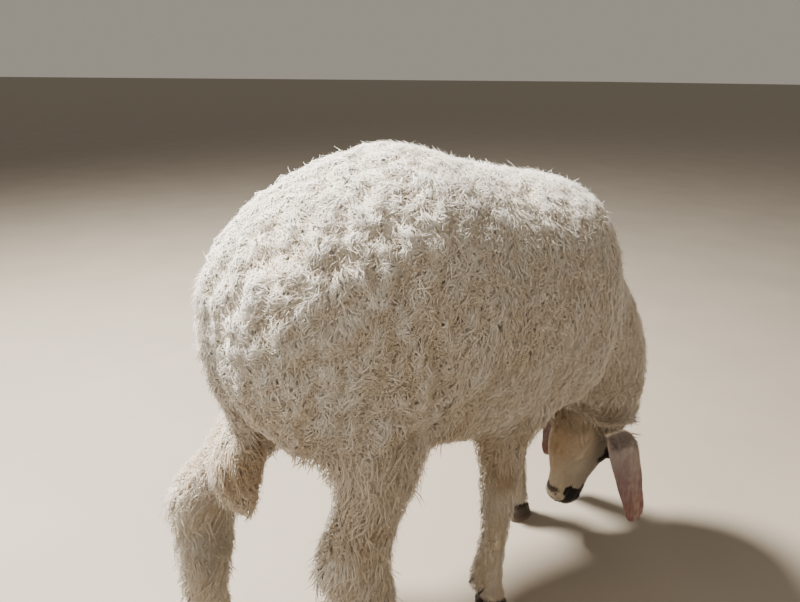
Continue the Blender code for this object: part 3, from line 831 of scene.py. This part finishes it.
# ---- hooves -------------------------------------------------------------------------------
# Each foot stands on two claws of dark horn, grown down in rings from a soft coronet, with the
# toe worn round and the sole flat. Two small dewclaws sit behind each fetlock.
def horn_material():
    """Hoof horn: dull, dark brown to black, ringed every 2 mm, scuffed pale near the sole."""
    made, tree, shader = material("hoof_horn_worn", Roughness=0.55, IOR=1.54)
    place = add(tree, "TexCoord").outputs["Object"]
    up = add(tree, "SeparateXYZ", {"Vector": place}).outputs["Z"]
    drawn = add(tree, "Mapping", {"Vector": place, "Scale": (1.0, 1.0, 0.15)}).outputs["Vector"]
    grain = add(tree, "TexNoise", {"Vector": drawn, "Scale": 600.0, "Detail": 4.0})
    rings = add(tree, "TexWave", {"Vector": place, "Scale": 160.0, "Distortion": 2.0,
                                  "Detail": 2.0}, bands_direction="Z")
    horn = add(tree, "ValToRGB", {"Fac": grain.outputs["Fac"]})
    horn.color_ramp.elements[0].color = rgba("#15110E")
    horn.color_ramp.elements[1].color = rgba("#4B3D31")
    worn = add(tree, "MapRange", {"Value": up, "From Min": 0.0, "From Max": 0.012,
                                  "To Min": 0.55, "To Max": 0.0}).outputs["Result"]
    tone = add(tree, "MixRGB", {"Fac": worn, "Color1": horn.outputs["Color"],
                                "Color2": rgba("#857766")})
    tree.links.new(tone.outputs["Color"], shader.inputs["Base Color"])
    bump = add(tree, "Bump", {"Height": rings.outputs["Fac"], "Strength": 0.4, "Distance": 0.0006})
    fine = add(tree, "Bump", {"Height": grain.outputs["Fac"], "Strength": 0.3, "Distance": 0.0004,
                              "Normal": bump.outputs["Normal"]})
    tree.links.new(fine.outputs["Normal"], shader.inputs["Normal"])
    return made


def claw_form(low, high, inner_side):
    """One claw between its box's corners: rings from sole to coronet; the inner wall is flat."""
    rings, sides = 26, 56
    centre, size = (np.array(low) + np.array(high)) / 2, np.array(high) - np.array(low)
    t = np.linspace(0.0, 1.0, rings)[:, None]
    c, s = np.cos(ring_turns(sides)), np.sin(ring_turns(sides))
    toe = 1.0 - 0.20 * t - 0.06 * np.exp(-t / 0.04)
    shift = -0.11 * t * size[0]
    growth = (1.0 + 0.010 * np.sin(t * 46.0) * smooth_step(t, 0.05, 0.2)
              + 0.03 * np.exp(-((t - 0.96) / 0.05) ** 2))            # rings, and the coronet's rim
    taper = 1.0 - 0.30 * np.clip(c, 0, 1) ** 2.2                     # narrower at the toe
    flat = np.where(s * inner_side > 0, 0.80, 1.0)
    x = centre[0] + shift + size[0] / 2 * toe * growth * np.sign(c) * np.abs(c) ** 0.82
    y = centre[1] + (size[1] / 2 * (1.0 - 0.08 * t) * growth * taper * flat
                     * np.sign(s) * np.abs(s) ** 0.80)
    z = low[2] + size[2] * t * (1.0 - 0.05 * np.clip(-c, 0, 1))
    return closed_tube(np.stack((x, y, z), -1), peak=0.001)


def dewclaw_form(centre, side):
    """A small horn stud, its point down and back."""
    rings, sides = 10, 20
    t = np.linspace(0.0, 1.0, rings)[:, None]
    turn = ring_turns(sides)
    radius = 0.0066 * np.sqrt(np.clip(1.0 - t ** 2.4, 0.0, 1.0)) * (1.0 + 0.04 * np.sin(t * 25.0))
    x = centre[0] - 0.010 * t - 0.003 + radius * np.cos(turn) * 0.8
    y = centre[1] + side * (0.002 + 0.002 * t) + radius * np.sin(turn) * 0.8
    z = centre[2] + 0.004 - 0.013 * t + radius * np.cos(turn) * 0.6
    return closed_tube(np.stack((x, y, z), -1))


horn = horn_material()
DEWCLAW_BACK = {"fore": 0.034, "hind": 0.040}        # behind the middle of the foot
DEWCLAW_OUT, DEWCLAW_HEIGHT = 0.011, 0.088
for foot in ("fore_left", "fore_right", "hind_left", "hind_right"):
    for claw, inner in (("a", 1), ("b", -1)):
        low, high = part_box(f"hoof_{foot}_{claw}")
        tube = claw_form(low, high, inner)
        hoof = mesh_object(f"claw_{foot}_{claw}", tube[0], *facing_out(*tube))
        hoof.data.materials.append(horn)
        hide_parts(f"hoof_{foot}_{claw}")
        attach(hoof, "root")
    low_a, high_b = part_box(f"hoof_{foot}_a")[0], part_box(f"hoof_{foot}_b")[1]
    middle = (low_a + high_b) / 2
    for side in (-1, 1):
        tube = dewclaw_form((middle.x - DEWCLAW_BACK[foot[:4]], middle.y + side * DEWCLAW_OUT,
                             DEWCLAW_HEIGHT), side)
        stud = mesh_object(f"dewclaw_{foot}_{'a' if side < 0 else 'b'}", tube[0],
                           *facing_out(*tube))
        stud.data.materials.append(horn)
        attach(stud, "root")


# ---- fleece -------------------------------------------------------------------------------
# Wool grows in locks: bundles of crimped fibres that share a root, lean one way and come
# together at the tip. Each bundle is a thin closed mesh strand. On the rump the locks gather into
# curly lumps, on the back they stand soft, on the flank they hang in waves.
def wool_material(name, gloss, roughness):
    """Wool: matt and soft, with a woolly sheen, fibres about 1 mm wide drawn along the strand."""
    made, tree, shader = material(name, Roughness=roughness, IOR=1.45, Sheen_Weight=gloss,
                                  Sheen_Roughness=0.45, Subsurface_Weight=0.50,
                                  Subsurface_Scale=0.014, Subsurface_Radius=(1.0, 0.95, 0.86))
    tint = add(tree, "Attribute", attribute_name="tint").outputs["Color"]
    grain = add(tree, "Attribute", attribute_name="fibre").outputs["Vector"]
    drawn = add(tree, "Mapping", {"Vector": grain, "Scale": (2.2, 0.16, 0.5)}).outputs["Vector"]
    fibre = add(tree, "TexNoise", {"Vector": drawn, "Scale": 900.0, "Detail": 2.0}).outputs["Fac"]
    hair_look(tree, shader, toned(tree, tint, fibre, 0.90, 1.06), fibre)
    return made


def unit(ways):
    return ways / (np.linalg.norm(ways, axis=-1, keepdims=True) + 1e-12)


def in_turn(places):
    """An order of the places in which neighbours in space follow soon on each other."""
    cell = ((places - places.min(0)) / 0.004).astype(np.int64)
    code = np.zeros(len(places), np.int64)
    for bit in range(10):
        for axis in range(3):
            code |= ((cell[:, axis] >> bit) & 1) << (3 * bit + axis)
    return np.argsort(code)


def triangle_areas(corners):
    return np.linalg.norm(np.cross(corners[:, 1] - corners[:, 0],
                                   corners[:, 2] - corners[:, 0]), axis=1) / 2


def roots_on(form, density, draw):
    """Roots spread evenly over a form's triangles, density of them per square metre."""
    triangles = form["triangles"][in_turn(form["place"][form["triangles"]].mean(1))]
    total = np.cumsum(triangle_areas(form["place"][triangles]) * density)
    count = int(total[-1])
    at = (np.arange(count) + draw.random(count)) * total[-1] / count
    pick = np.minimum(np.searchsorted(total, at), len(triangles) - 1)
    u, v = draw.random(count), draw.random(count)
    flip = u + v > 1.0
    u, v = np.where(flip, 1 - u, u), np.where(flip, 1 - v, v)
    share = np.stack((1 - u - v, u, v), 1)[..., None]
    chosen = triangles[pick]
    found = {key: (form[key][chosen] * (share if form[key].ndim > 1 else share[..., 0])).sum(1)
             for key in ("place", "outward", "depth", "reach") if key in form}
    found["outward"] = unit(found["outward"])
    found["label"] = form["label"][chosen[:, 0]]
    return found


def body_lay(places, outward, label):
    """The way the wool leans: back and down, and down both sides from the spine."""
    side = np.clip(places[:, 1] / 0.08, -1.0, 1.0)
    lean = np.stack((np.full(len(places), -0.45), 0.75 * side * np.clip(outward[:, 2], 0, 1),
                     np.full(len(places), -0.95)), 1)
    for part, way in (("neck", (0.25, 0.0, -1.0)), ("leg", (-0.22, 0.0, -1.0)),
                      ("shank", (-0.22, 0.0, -1.0)), ("tail", (0.0, 0.0, -1.0)),
                      ("head", -AXIS + (0.0, 0.0, -0.25)), ("ear", (0.10, 0.0, -1.0))):
        lean = np.where(np.char.startswith(label, part)[:, None], way, lean)
    return lean


def tangent(lean, outward):
    return unit(lean - outward * (lean * outward).sum(1, keepdims=True) + 1e-6)


def nearest(places, middles):
    """For each place, which of the middles lies nearest."""
    tree = KDTree(len(middles))
    for i, middle in enumerate(middles.tolist()):
        tree.insert(middle, i)
    tree.balance()
    return np.array([tree.find(p)[1] for p in places.tolist()])


def scattered(places, apart, area):
    """Some of the places on an area, about so far apart."""
    count = int(np.clip(area / apart ** 2, 2, len(places)))
    return places[(np.arange(count) * (len(places) / count)).astype(int)]


LUMP = 0.028                       # how wide the soft lumps are that the wool gathers into
LUMP_BEND, LUMP_BEND_SIZE = 0.0035, 0.012      # how far and how closely their edges waver
FLOOR_GAP = 0.004                  # how high above the floor the strands stay


def lump_middles():
    """Places all over the body about a lump apart, the same for every layer of the coat."""
    middle = body["place"][body["triangles"]].mean(1)
    order = in_turn(middle)
    area = triangle_areas(body["place"][body["triangles"][order]])
    at = np.arange(0.5, area.sum() / LUMP ** 2) * LUMP ** 2
    return middle[order][np.minimum(np.searchsorted(np.cumsum(area), at), len(middle) - 1)]


LUMPS = lump_middles()


def to_lump(places):
    """The way from each place to the middle of its lump, in half lump widths."""
    return (LUMPS[nearest(places, LUMPS)] - places) / (0.5 * LUMP)


def lumps(places, reach):
    """Height and slope of the soft rounded lumps at these places."""
    bend = np.stack([wander(places, LUMP_BEND_SIZE, seed) for seed in (61, 62, 63)], 1)
    bent = places + LUMP_BEND * bend
    away = to_lump(bent)
    off = np.clip(np.linalg.norm(away, axis=1), 0.0, 1.5)
    return reach * (0.6 - off ** 2), 2.0 * reach * away / (0.5 * LUMP)


def grow(roots, lean, area, draw, lock, length, curl, turns, clump, width, lift=1.0, steps=3,
         droop=0.30, fuzz=0.0012, stray=0.15, taper=0.30, stand=0.40, start=0.0, spread=0.16,
         lump_reach=0.0020, fly=0.0, uneven=0.1):
    """Strands of wool, one for each root: places along them, widths and outward ways.

    A strand leaves the skin, rises to its share of the coat's depth over the first part of its
    length, called stand, and then lies along the body with its tip tucked in by droop. Strands of
    a lock, lock metres across, share its wave: curl is the wave's reach and turns how often it
    goes round. clump brings a lock's tips together and stray is each strand's own way. start is
    the share of the way that is left out at the root, and spread how much the strands differ in
    height. The coat swells into lumps by lump_reach; fly is how far the loosest tips stand out
    and uneven how much the locks differ in length.
    """
    count = len(roots["place"])
    t = np.linspace(start, 1.0, steps + 1)
    middles = scattered(roots["place"], lock, area)
    mine = nearest(roots["place"], middles)
    locks = len(middles)
    out = roots["outward"]
    lay = tangent(lean + draw.normal(size=(locks, 3))[mine] * stray
                  + draw.normal(size=(count, 3)) * stray * 0.6, out)
    side = np.cross(out, lay)
    layer = draw.random(count)                         # 0 for the lowest, 1 for the outermost
    depth = (roots["depth"] * lift * draw.uniform(0.92, 1.05, locks)[mine]
             * (1.0 - spread * (1.0 - layer)))
    rise = (np.sin(np.clip(t / stand, 0.0, 1.0) * math.pi / 2)
            - droop * np.clip((t - 0.45) / 0.55, 0.0, 1.0) ** 2)
    phase = (draw.uniform(0.0, 2.0 * math.pi, locks)[mine] + draw.normal(0.0, 0.30, count))[:, None]
    way = np.where(draw.random(locks) < 0.5, -1.0, 1.0)[mine][:, None]
    spin = phase + way * 2.0 * math.pi * turns * draw.uniform(0.8, 1.2, locks)[mine][:, None] * t
    reach_out = curl * draw.uniform(0.6, 1.3, locks)[mine][:, None] * smooth_step(t, 0.05, 0.6)
    swing = reach_out * np.sin(spin)
    bob = reach_out * 0.45 * np.cos(spin)
    reach = roots.get("reach", np.ones(count))
    longer = draw.uniform(1.0 - uneven, 1.0 + uneven, locks)[mine] * draw.uniform(0.8, 1.15, count)
    long = length * (reach * longer)[:, None] * t ** 1.15
    gather = tangent_part(middles[mine] - roots["place"], out)
    path = (roots["place"][:, None]
            + out[:, None] * (depth[:, None] * rise + bob - 0.0020 * (t < 0.01))[..., None]
            + lay[:, None] * long[..., None] + side[:, None] * swing[..., None]
            + gather[:, None] * (clump * smooth_step(t, 0.3, 1.0))[..., None])
    path += draw.normal(size=(count, 1, 3)) * fuzz * t[:, None]
    loose = fly * draw.random(count) ** 3 * (1.0 + 0.6 * draw.normal(size=locks)[mine])
    path += out[:, None] * (loose[:, None] * t ** 1.5)[..., None]
    swell, slope = lumps(path.reshape(-1, 3), lump_reach)
    swell, slope = swell.reshape(count, -1), slope.reshape(count, -1, 3)
    path += out[:, None] * (swell * smooth_step(t, 0.1, 0.5))[..., None]
    path[..., 2] = np.maximum(path[..., 2], FLOOR_GAP + 0.003 * t)
    shape = np.interp(t[:-1], (0.0, 0.25, 0.70, 1.0), (0.7, 1.0, 0.85, taper))
    thick = width * np.sqrt(reach) * draw.uniform(0.8, 1.15, count) * (1.3 - 0.5 * layer)
    facing = unit(out[:, None] - tangent_part(slope, out[:, None]) * 1.3)
    # The hollow share: how deep each point lies between the lumps, where the strands' colour is
    # darkened as painted shade.
    return {"path": path, "width": thick[:, None] * shape, "across": -side, "facing": facing,
            "painted_crease_shade": np.clip(0.15 - 0.75 * swell / max(lump_reach, 1e-6), 0.0, 1.0), "along": t}


def tangent_part(ways, outward):
    return ways - outward * (ways * outward).sum(-1, keepdims=True)


SOFTNESS = 0.95                    # how far the strands' shading follows the coat's own surface
PAINTED_HOLLOW_SHADE = (0.95, 0.90, 0.83)        # painted shade: the warm darkening painted into the hollows between lumps
ROOT_SHADE = 0.98                  # how dark a strand is at its root
FLATNESS = 0.30                    # a strand's thickness as a part of its width
PATCH = 0.003                      # a strand's own patch on the unwrap


def strand_mesh(name, grown, roots, colours, finish):
    """Closed three-sided strands as one mesh, tinted from root to tip, with its OFBake map."""
    path, width, across = grown["path"], grown["width"], grown["across"][:, None]
    count, points = path.shape[:2]
    along = unit(np.gradient(path, axis=1))
    side = unit(tangent_part(across, along))
    up = np.cross(side, along)
    ring, facing, under = [], [], []

    def soften(own, coat):
        agree = smooth_step((own * coat).sum(-1, keepdims=True), 0.0, 0.45) * SOFTNESS
        return unit(own * (1.0 - agree) + coat * agree)

    for c, s in ((-0.5, -0.3 * FLATNESS), (0.5, -0.3 * FLATNESS), (0.0, 0.7 * FLATNESS)):
        way = side[:, :-1] * c + up[:, :-1] * s
        ring.append(path[:, :-1] + way * width[..., None])
        own = unit(side[:, :-1] * c + up[:, :-1] * (s + 0.3))
        facing.append(soften(own, grown["facing"][:, :-1]))
        under.append(unit(side[:, :-1] * c * 0.8 - up[:, :-1]))
    places, normals, below = (
        np.concatenate((np.stack(rows, 2).reshape(count, -1, 3), tip), 1).reshape(-1, 3)
        for rows, tip in ((ring, path[:, -1:]),
                          (facing, soften(up[:, -1:], grown["facing"][:, -1:])),
                          (under, -up[:, -1:])))
    each = len(places) // count
    start = np.arange(count)[:, None, None] * each
    levels = points - 1
    quads = np.array([(3 * i + j, 3 * i + 3 + j, 3 * i + 3 + (j + 1) % 3, 3 * i + (j + 1) % 3)
                      for i in range(levels - 1) for j in range(3)], int).reshape(-1, 4)
    top = 3 * (levels - 1)
    ends = np.array([(top + j, each - 1, top + (j + 1) % 3) for j in range(3)] + [(0, 1, 2)])
    quads, ends = (start + quads).reshape(-1, 4), (start + ends).reshape(-1, 3)
    made = mesh_object(name, places, quads, ends)
    loops = np.concatenate((quads.ravel(), ends.ravel()))
    inner = np.concatenate((np.repeat(np.arange(len(quads)) % 3 == 0, 4),
                            np.repeat(np.arange(len(ends)) % 4 == 0, 3)))[:, None]
    store(made.data, "custom_normal", "FLOAT_VECTOR", "CORNER", "vector",
          np.where(inner, below[loops], normals[loops]))
    t = np.append(np.repeat(grown["along"][:-1], 3), 1.0)
    draw = np.random.default_rng(count)
    tone = draw.normal(1.0, 0.04, count)
    depth_shade = ROOT_SHADE + (1.0 - ROOT_SHADE) * smooth_step(t, 0.0, 0.75)
    warm = np.array((1.0, 0.98, 0.95)) ** (1.0 - smooth_step(t, 0.0, 0.8))[:, None]
    # Painted shade: strands in the hollows between lumps are darkened towards the warm hollow
    # colour.
    painted_crease_shade = grown["painted_crease_shade"]
    painted_crease_shade = np.concatenate((np.repeat(painted_crease_shade[:, :-1], 3, 1), painted_crease_shade[:, -1:]), 1)[..., None]
    tint = colours[:, None] * (tone[:, None] * depth_shade)[..., None] * warm
    tint *= 1.0 - painted_crease_shade * (1.0 - np.array(PAINTED_HOLLOW_SHADE))
    paint(made.data, np.clip(tint.reshape(-1, 3), 0.0, 1.0))
    across = np.append(np.tile((-1.0, 1.0, 0.0), levels), 0.0)
    grain = np.stack((np.tile(across, (count, 1)) * width[:, :1] * 0.5,
                      t * np.linalg.norm(np.diff(path, axis=1), axis=2).sum(1)[:, None],
                      np.tile(draw.random((count, 1)), (1, each))), -1)
    store(made.data, "fibre", "FLOAT_VECTOR", "POINT", "vector", grain)
    home = unwrap(roots["place"], roots["label"])
    corner = np.stack((t - 0.5, across * 0.4), -1) * PATCH
    uv = (home[:, None] + corner).reshape(-1, 2)
    layer = made.data.uv_layers.new(name="OFBake")
    layer.data.foreach_set("uv", uv[loops].astype(np.float32).ravel())
    made.data.materials.append(finish)
    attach(made, "root")
    print(name, "triangles", len(quads) * 2 + len(ends))
    return made


def unwrap(places, label):
    """Places on an unwrap of the skin: the trunk as an ellipsoid, limbs and head as tubes."""
    low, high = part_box("trunk")
    away = (places - np.array(low + high) / 2) / (np.array(high - low) / 2)
    across = np.hypot(away[:, 1], away[:, 2])
    u = np.arctan2(away[:, 0], across + 0.25) / math.pi + 0.5
    v = np.arctan2(away[:, 1], away[:, 2]) / (2 * math.pi) + 0.5
    chart = np.stack((0.01 + 0.58 * u, 0.01 + 0.98 * v), 1)
    lines = {"head": AXIS, "neck": unit(np.array((-0.5, 0.0, 0.86)))}
    for i, name in enumerate(sorted(set(FLESH) - {"trunk"}) + ["ear_left", "ear_right"]):
        low, high = (np.array(corner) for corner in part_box(name))
        line = lines.get(name, np.array((0.0, 0.0, 1.0)))
        offset = places - (low + high) / 2
        down = offset @ line
        wide = unit(np.cross(line, (0.0, 1.0, 0.0)))
        around = np.arctan2(offset @ (0.0, 1.0, 0.0), offset @ wide) / (2 * math.pi) + 0.5
        reach = np.linalg.norm(high - low)
        slot = np.stack((0.61 + 0.13 * (i % 3) + 0.115 * around,
                         0.01 + 0.165 * (i // 3) + 0.15 * (down / reach + 0.5)), 1)
        chart = np.where((label == name)[:, None], slot, chart)
    return np.clip(chart, 0.003, 0.997)


def piece_of(form, keep):
    """The part of a form whose triangles pass a test on their middle place."""
    middle = form["place"][form["triangles"]].mean(1)
    chosen = dict(form)
    chosen["triangles"] = form["triangles"][keep(middle, form["label"][form["triangles"][:, 0]])]
    return chosen


wool = wool_material("crimped_wool", 0.12, 0.92)


def fleece(name, form, seed, density, pull, swirl, finish=wool, slot="fleece", **style):
    """A layer of the coat: strands over a part of the skin, in locks, gathered into lumps."""
    draw = np.random.default_rng(seed)
    roots = roots_on(form, density, draw)
    area = len(roots["place"]) / density
    lean = tangent(body_lay(roots["place"], roots["outward"], roots["label"]), roots["outward"])
    swing = swirl * wander(roots["place"], 0.05, seed + 1)[:, None]
    lean = tangent(lean + np.cross(roots["outward"], lean) * swing, roots["outward"])
    gathered = tangent(lean + tangent_part(to_lump(roots["place"]), roots["outward"]) * pull,
                       roots["outward"])
    grown = grow(roots, gathered, area, draw, **style)
    colours = markings(roots["place"] + roots["outward"] * roots["depth"][:, None],
                       roots["label"] == "head", np.char.startswith(roots["label"], "ear"))
    made = strand_mesh(name, grown, roots, colours, finish)
    return made


def on(*names):
    """A test for the parts of the body whose names start so."""
    return lambda middle, label: np.any([np.char.startswith(label, n) for n in names], axis=0)


# Every part of the coat has three layers: a felt of broad flat underwool, the curls or locks
# themselves, and fine wisps that fray the surface and the outline.
UNDERWOOL_COUNT, WISP_COUNT, LOCKS = 32000, 70000, 26000       # strands on a square metre
FELT = dict(lock=0.006, length=0.018, curl=0.0020, turns=0.4, clump=0.1, width=0.0038, steps=2,
            lift=0.86, spread=0.12, stray=0.55, droop=0.10, start=0.20, pull=0.0, swirl=1.2)
WISPS = dict(lock=0.005, length=0.018, curl=0.0015, turns=0.4, clump=0.15, width=0.0009,
             steps=1, lift=0.97, spread=0.08, stray=0.7, droop=-0.07, start=0.32, pull=0.0,
             swirl=1.5, stand=0.3, fly=0.007)


def coat(name, form, seed, locks, felt=1.0, wisps=1.0, deep=1.0, felt_lift=1.0, **style):
    """The three layers over one part of the body, with so many locks on a square metre.

    felt and wisps are how closely the other two layers stand, deep how long their strands are
    and felt_lift how high the felt lies. All three swell into the same lumps.
    """
    shared = {key: style[key] for key in style if key == "lump_reach"}
    part = name[name.index("_"):]
    fleece(name, form, seed, locks, **style)
    fleece("underwool" + part, form, seed + 50, UNDERWOOL_COUNT * felt,
           **{**FELT, **shared, "lift": FELT["lift"] * felt_lift, "width": FELT["width"] * deep,
              "length": FELT["length"] * deep})
    fleece("wisps" + part, form, seed + 90, WISP_COUNT * wisps,
           **{**WISPS, **shared, "length": WISPS["length"] * deep, "fly": WISPS["fly"] * deep})


RUMP_END, FLANK_TOP = -0.10, 0.66
trunk = piece_of(body, on("trunk"))
CURLS = dict(lock=0.012, length=0.027, curl=0.0058, turns=0.90, clump=0.50, width=0.0021,
             pull=0.7, swirl=0.9, droop=0.35, lump_reach=0.0042, uneven=0.2, fly=0.004)
SOFT = dict(lock=0.010, length=0.021, curl=0.0044, turns=0.85, clump=0.40, width=0.0018,
            pull=0.4, swirl=0.9, fuzz=0.0016, droop=0.22, stray=0.3, lump_reach=0.0022,
            uneven=0.2, fly=0.007)
WAVES = dict(lock=0.011, length=0.027, curl=0.0044, turns=0.85, clump=0.45, width=0.0019,
             pull=0.4, swirl=0.6, lump_reach=0.0021, uneven=0.2, fly=0.005)
HANG = dict(pull=0.1, swirl=0.35, stray=0.16, spread=0.35, uneven=0.4, droop=0.05)
for side_name, side in (("right", -1), ("left", 1)):
    half = piece_of(trunk, lambda m, n: (m[:, 1] >= 0) == (side > 0))
    rump = piece_of(half, lambda m, n: m[:, 0] < RUMP_END)
    flank = piece_of(half, lambda m, n: (m[:, 0] >= RUMP_END) & (m[:, 2] <= FLANK_TOP))
    top = piece_of(half, lambda m, n: (m[:, 0] >= RUMP_END) & (m[:, 2] > FLANK_TOP))
    coat(f"fleece_rump_{side_name}", rump, 101, LOCKS, **CURLS)
    coat(f"fleece_flank_{side_name}", flank, 104, LOCKS, **WAVES)
    coat(f"fleece_back_{side_name}", top, 103, LOCKS, **SOFT)
coat("fleece_neck", piece_of(body, on("neck")), 106, LOCKS,
     **{**WAVES, "length": 0.030, "fly": 0.009})
coat("fleece_thighs", piece_of(body, on("leg_hind")), 107, 22000, felt=0.8, wisps=0.8,
     felt_lift=0.75, lock=0.013, length=0.036, curl=0.0030, turns=0.6, clump=0.65, width=0.0018,
     fly=0.012, **HANG)
coat("fleece_forearms", piece_of(body, on("leg_fore")), 108, 26000, felt=0.9, wisps=0.8,
     deep=0.7, felt_lift=0.75, lock=0.010, length=0.026, curl=0.0020, turns=0.6, clump=0.6,
     width=0.0016, fly=0.008, **HANG)
coat("feather_hind", piece_of(body, on("shank_hind")), 109, 30000, felt=0.9, wisps=0.8,
     deep=0.7, felt_lift=0.75, lock=0.012, length=0.036, curl=0.0020, turns=0.5, clump=0.65,
     width=0.0016, fly=0.010, **HANG)
coat("feather_fore", piece_of(body, on("shank_fore")), 110, 42000, deep=0.45, felt_lift=0.75,
     lock=0.007, length=0.016, curl=0.0008, turns=0.4, clump=0.4, width=0.0012, fly=0.003,
     **HANG)
coat("fleece_tail", piece_of(body, on("tail")), 111, 40000, felt=0.8, wisps=0.8, lock=0.010,
     length=0.034, curl=0.0014, turns=0.5, clump=0.5, width=0.0016, fly=0.006, **HANG)


# ---- short hair ---------------------------------------------------------------------------
# Face and ears carry hair a few millimetres long, lying flat: up the face from the nose to the
# poll, and down the ears. It lengthens where it runs into the wool of neck, poll and throat.
def bare_places(places):
    """Where no hair grows: inside the lids, the nostrils and the lips."""
    eyes = np.minimum(*(np.linalg.norm(places - EYES[side], axis=1) for side in EYES))
    half = np.abs(to_head(places)) * (1.0, 0.0, 1.0) + to_head(places) * (0.0, 1.0, 0.0)
    return ((eyes < EYE_RADIUS + 0.0004) | (line_distance(half, NOSTRIL) < 0.0045)
            | (line_distance(half, MOUTH) < 0.0025))


def face_form():
    """The skin of head and ears as a form for hair, with how long the hair is at each place."""
    places, _, triangles = read_mesh(skin.data)
    a, f, s = to_head(places).T
    label = np.full(len(places), "bare", "<U16")
    label[in_head(places)] = "head"
    on_ear = ear_share(places)[1]
    label[on_ear] = np.where(places[on_ear, 1] < 0, "ear_right", "ear_left")
    label[bare_places(places)] = "bare"
    edge = 0.030 + 0.014 * smooth_step(-f, 0.02, 0.08) + 0.005 * wander(places, 0.02, 51)
    long = 1.0 - smooth_step(a, edge, edge + 0.040)
    root = np.linalg.norm(np.stack((a, f, np.abs(s)), 1) - EAR_AT - (0.0, 0.0, 0.012), axis=1)
    long = np.maximum(long, 0.6 - 0.6 * smooth_step(root, 0.018, 0.036))
    depth = 0.0016 + 0.0070 * long
    return {"place": places, "outward": outward_of(places, triangles), "triangles": triangles,
            "label": label, "depth": np.where(on_ear, 0.0007 + 0.003 * long, depth),
            "reach": 1.0 + 1.9 * long, "long": long}


face = face_form()
short_hair = wool_material("short_hair", 0.10, 0.80)
FLAT = dict(pull=0.0, lump_reach=0.0, clump=0.2, droop=-0.10, finish=short_hair)
BARELY_CURLED = dict(curl=0.0002, turns=0.3, fuzz=0.0002, stray=0.12, steps=1, start=0.10)
fleece("face_hair", piece_of(face, on("head")), 201, 200000, slot="face_hair", lock=0.004,
       length=0.0075, width=0.0009, swirl=0.15, **BARELY_CURLED, **FLAT)
fringe = piece_of(face, on("head", "ear"))
fringe["triangles"] = fringe["triangles"][face["long"][fringe["triangles"]].mean(1) > 0.12]
fleece("fringe_hair", fringe, 202, 100000, slot="face_hair", lock=0.006, length=0.0110,
       curl=0.0012, turns=0.5, width=0.0013, steps=2, lift=1.5, swirl=0.5, fuzz=0.0012,
       stray=0.35, **FLAT)
fleece("ear_hair", piece_of(face, on("ear")), 203, 170000, slot="ear_skin", lock=0.004,
       length=0.0065, width=0.0006, swirl=0.2, **BARELY_CURLED, **FLAT)
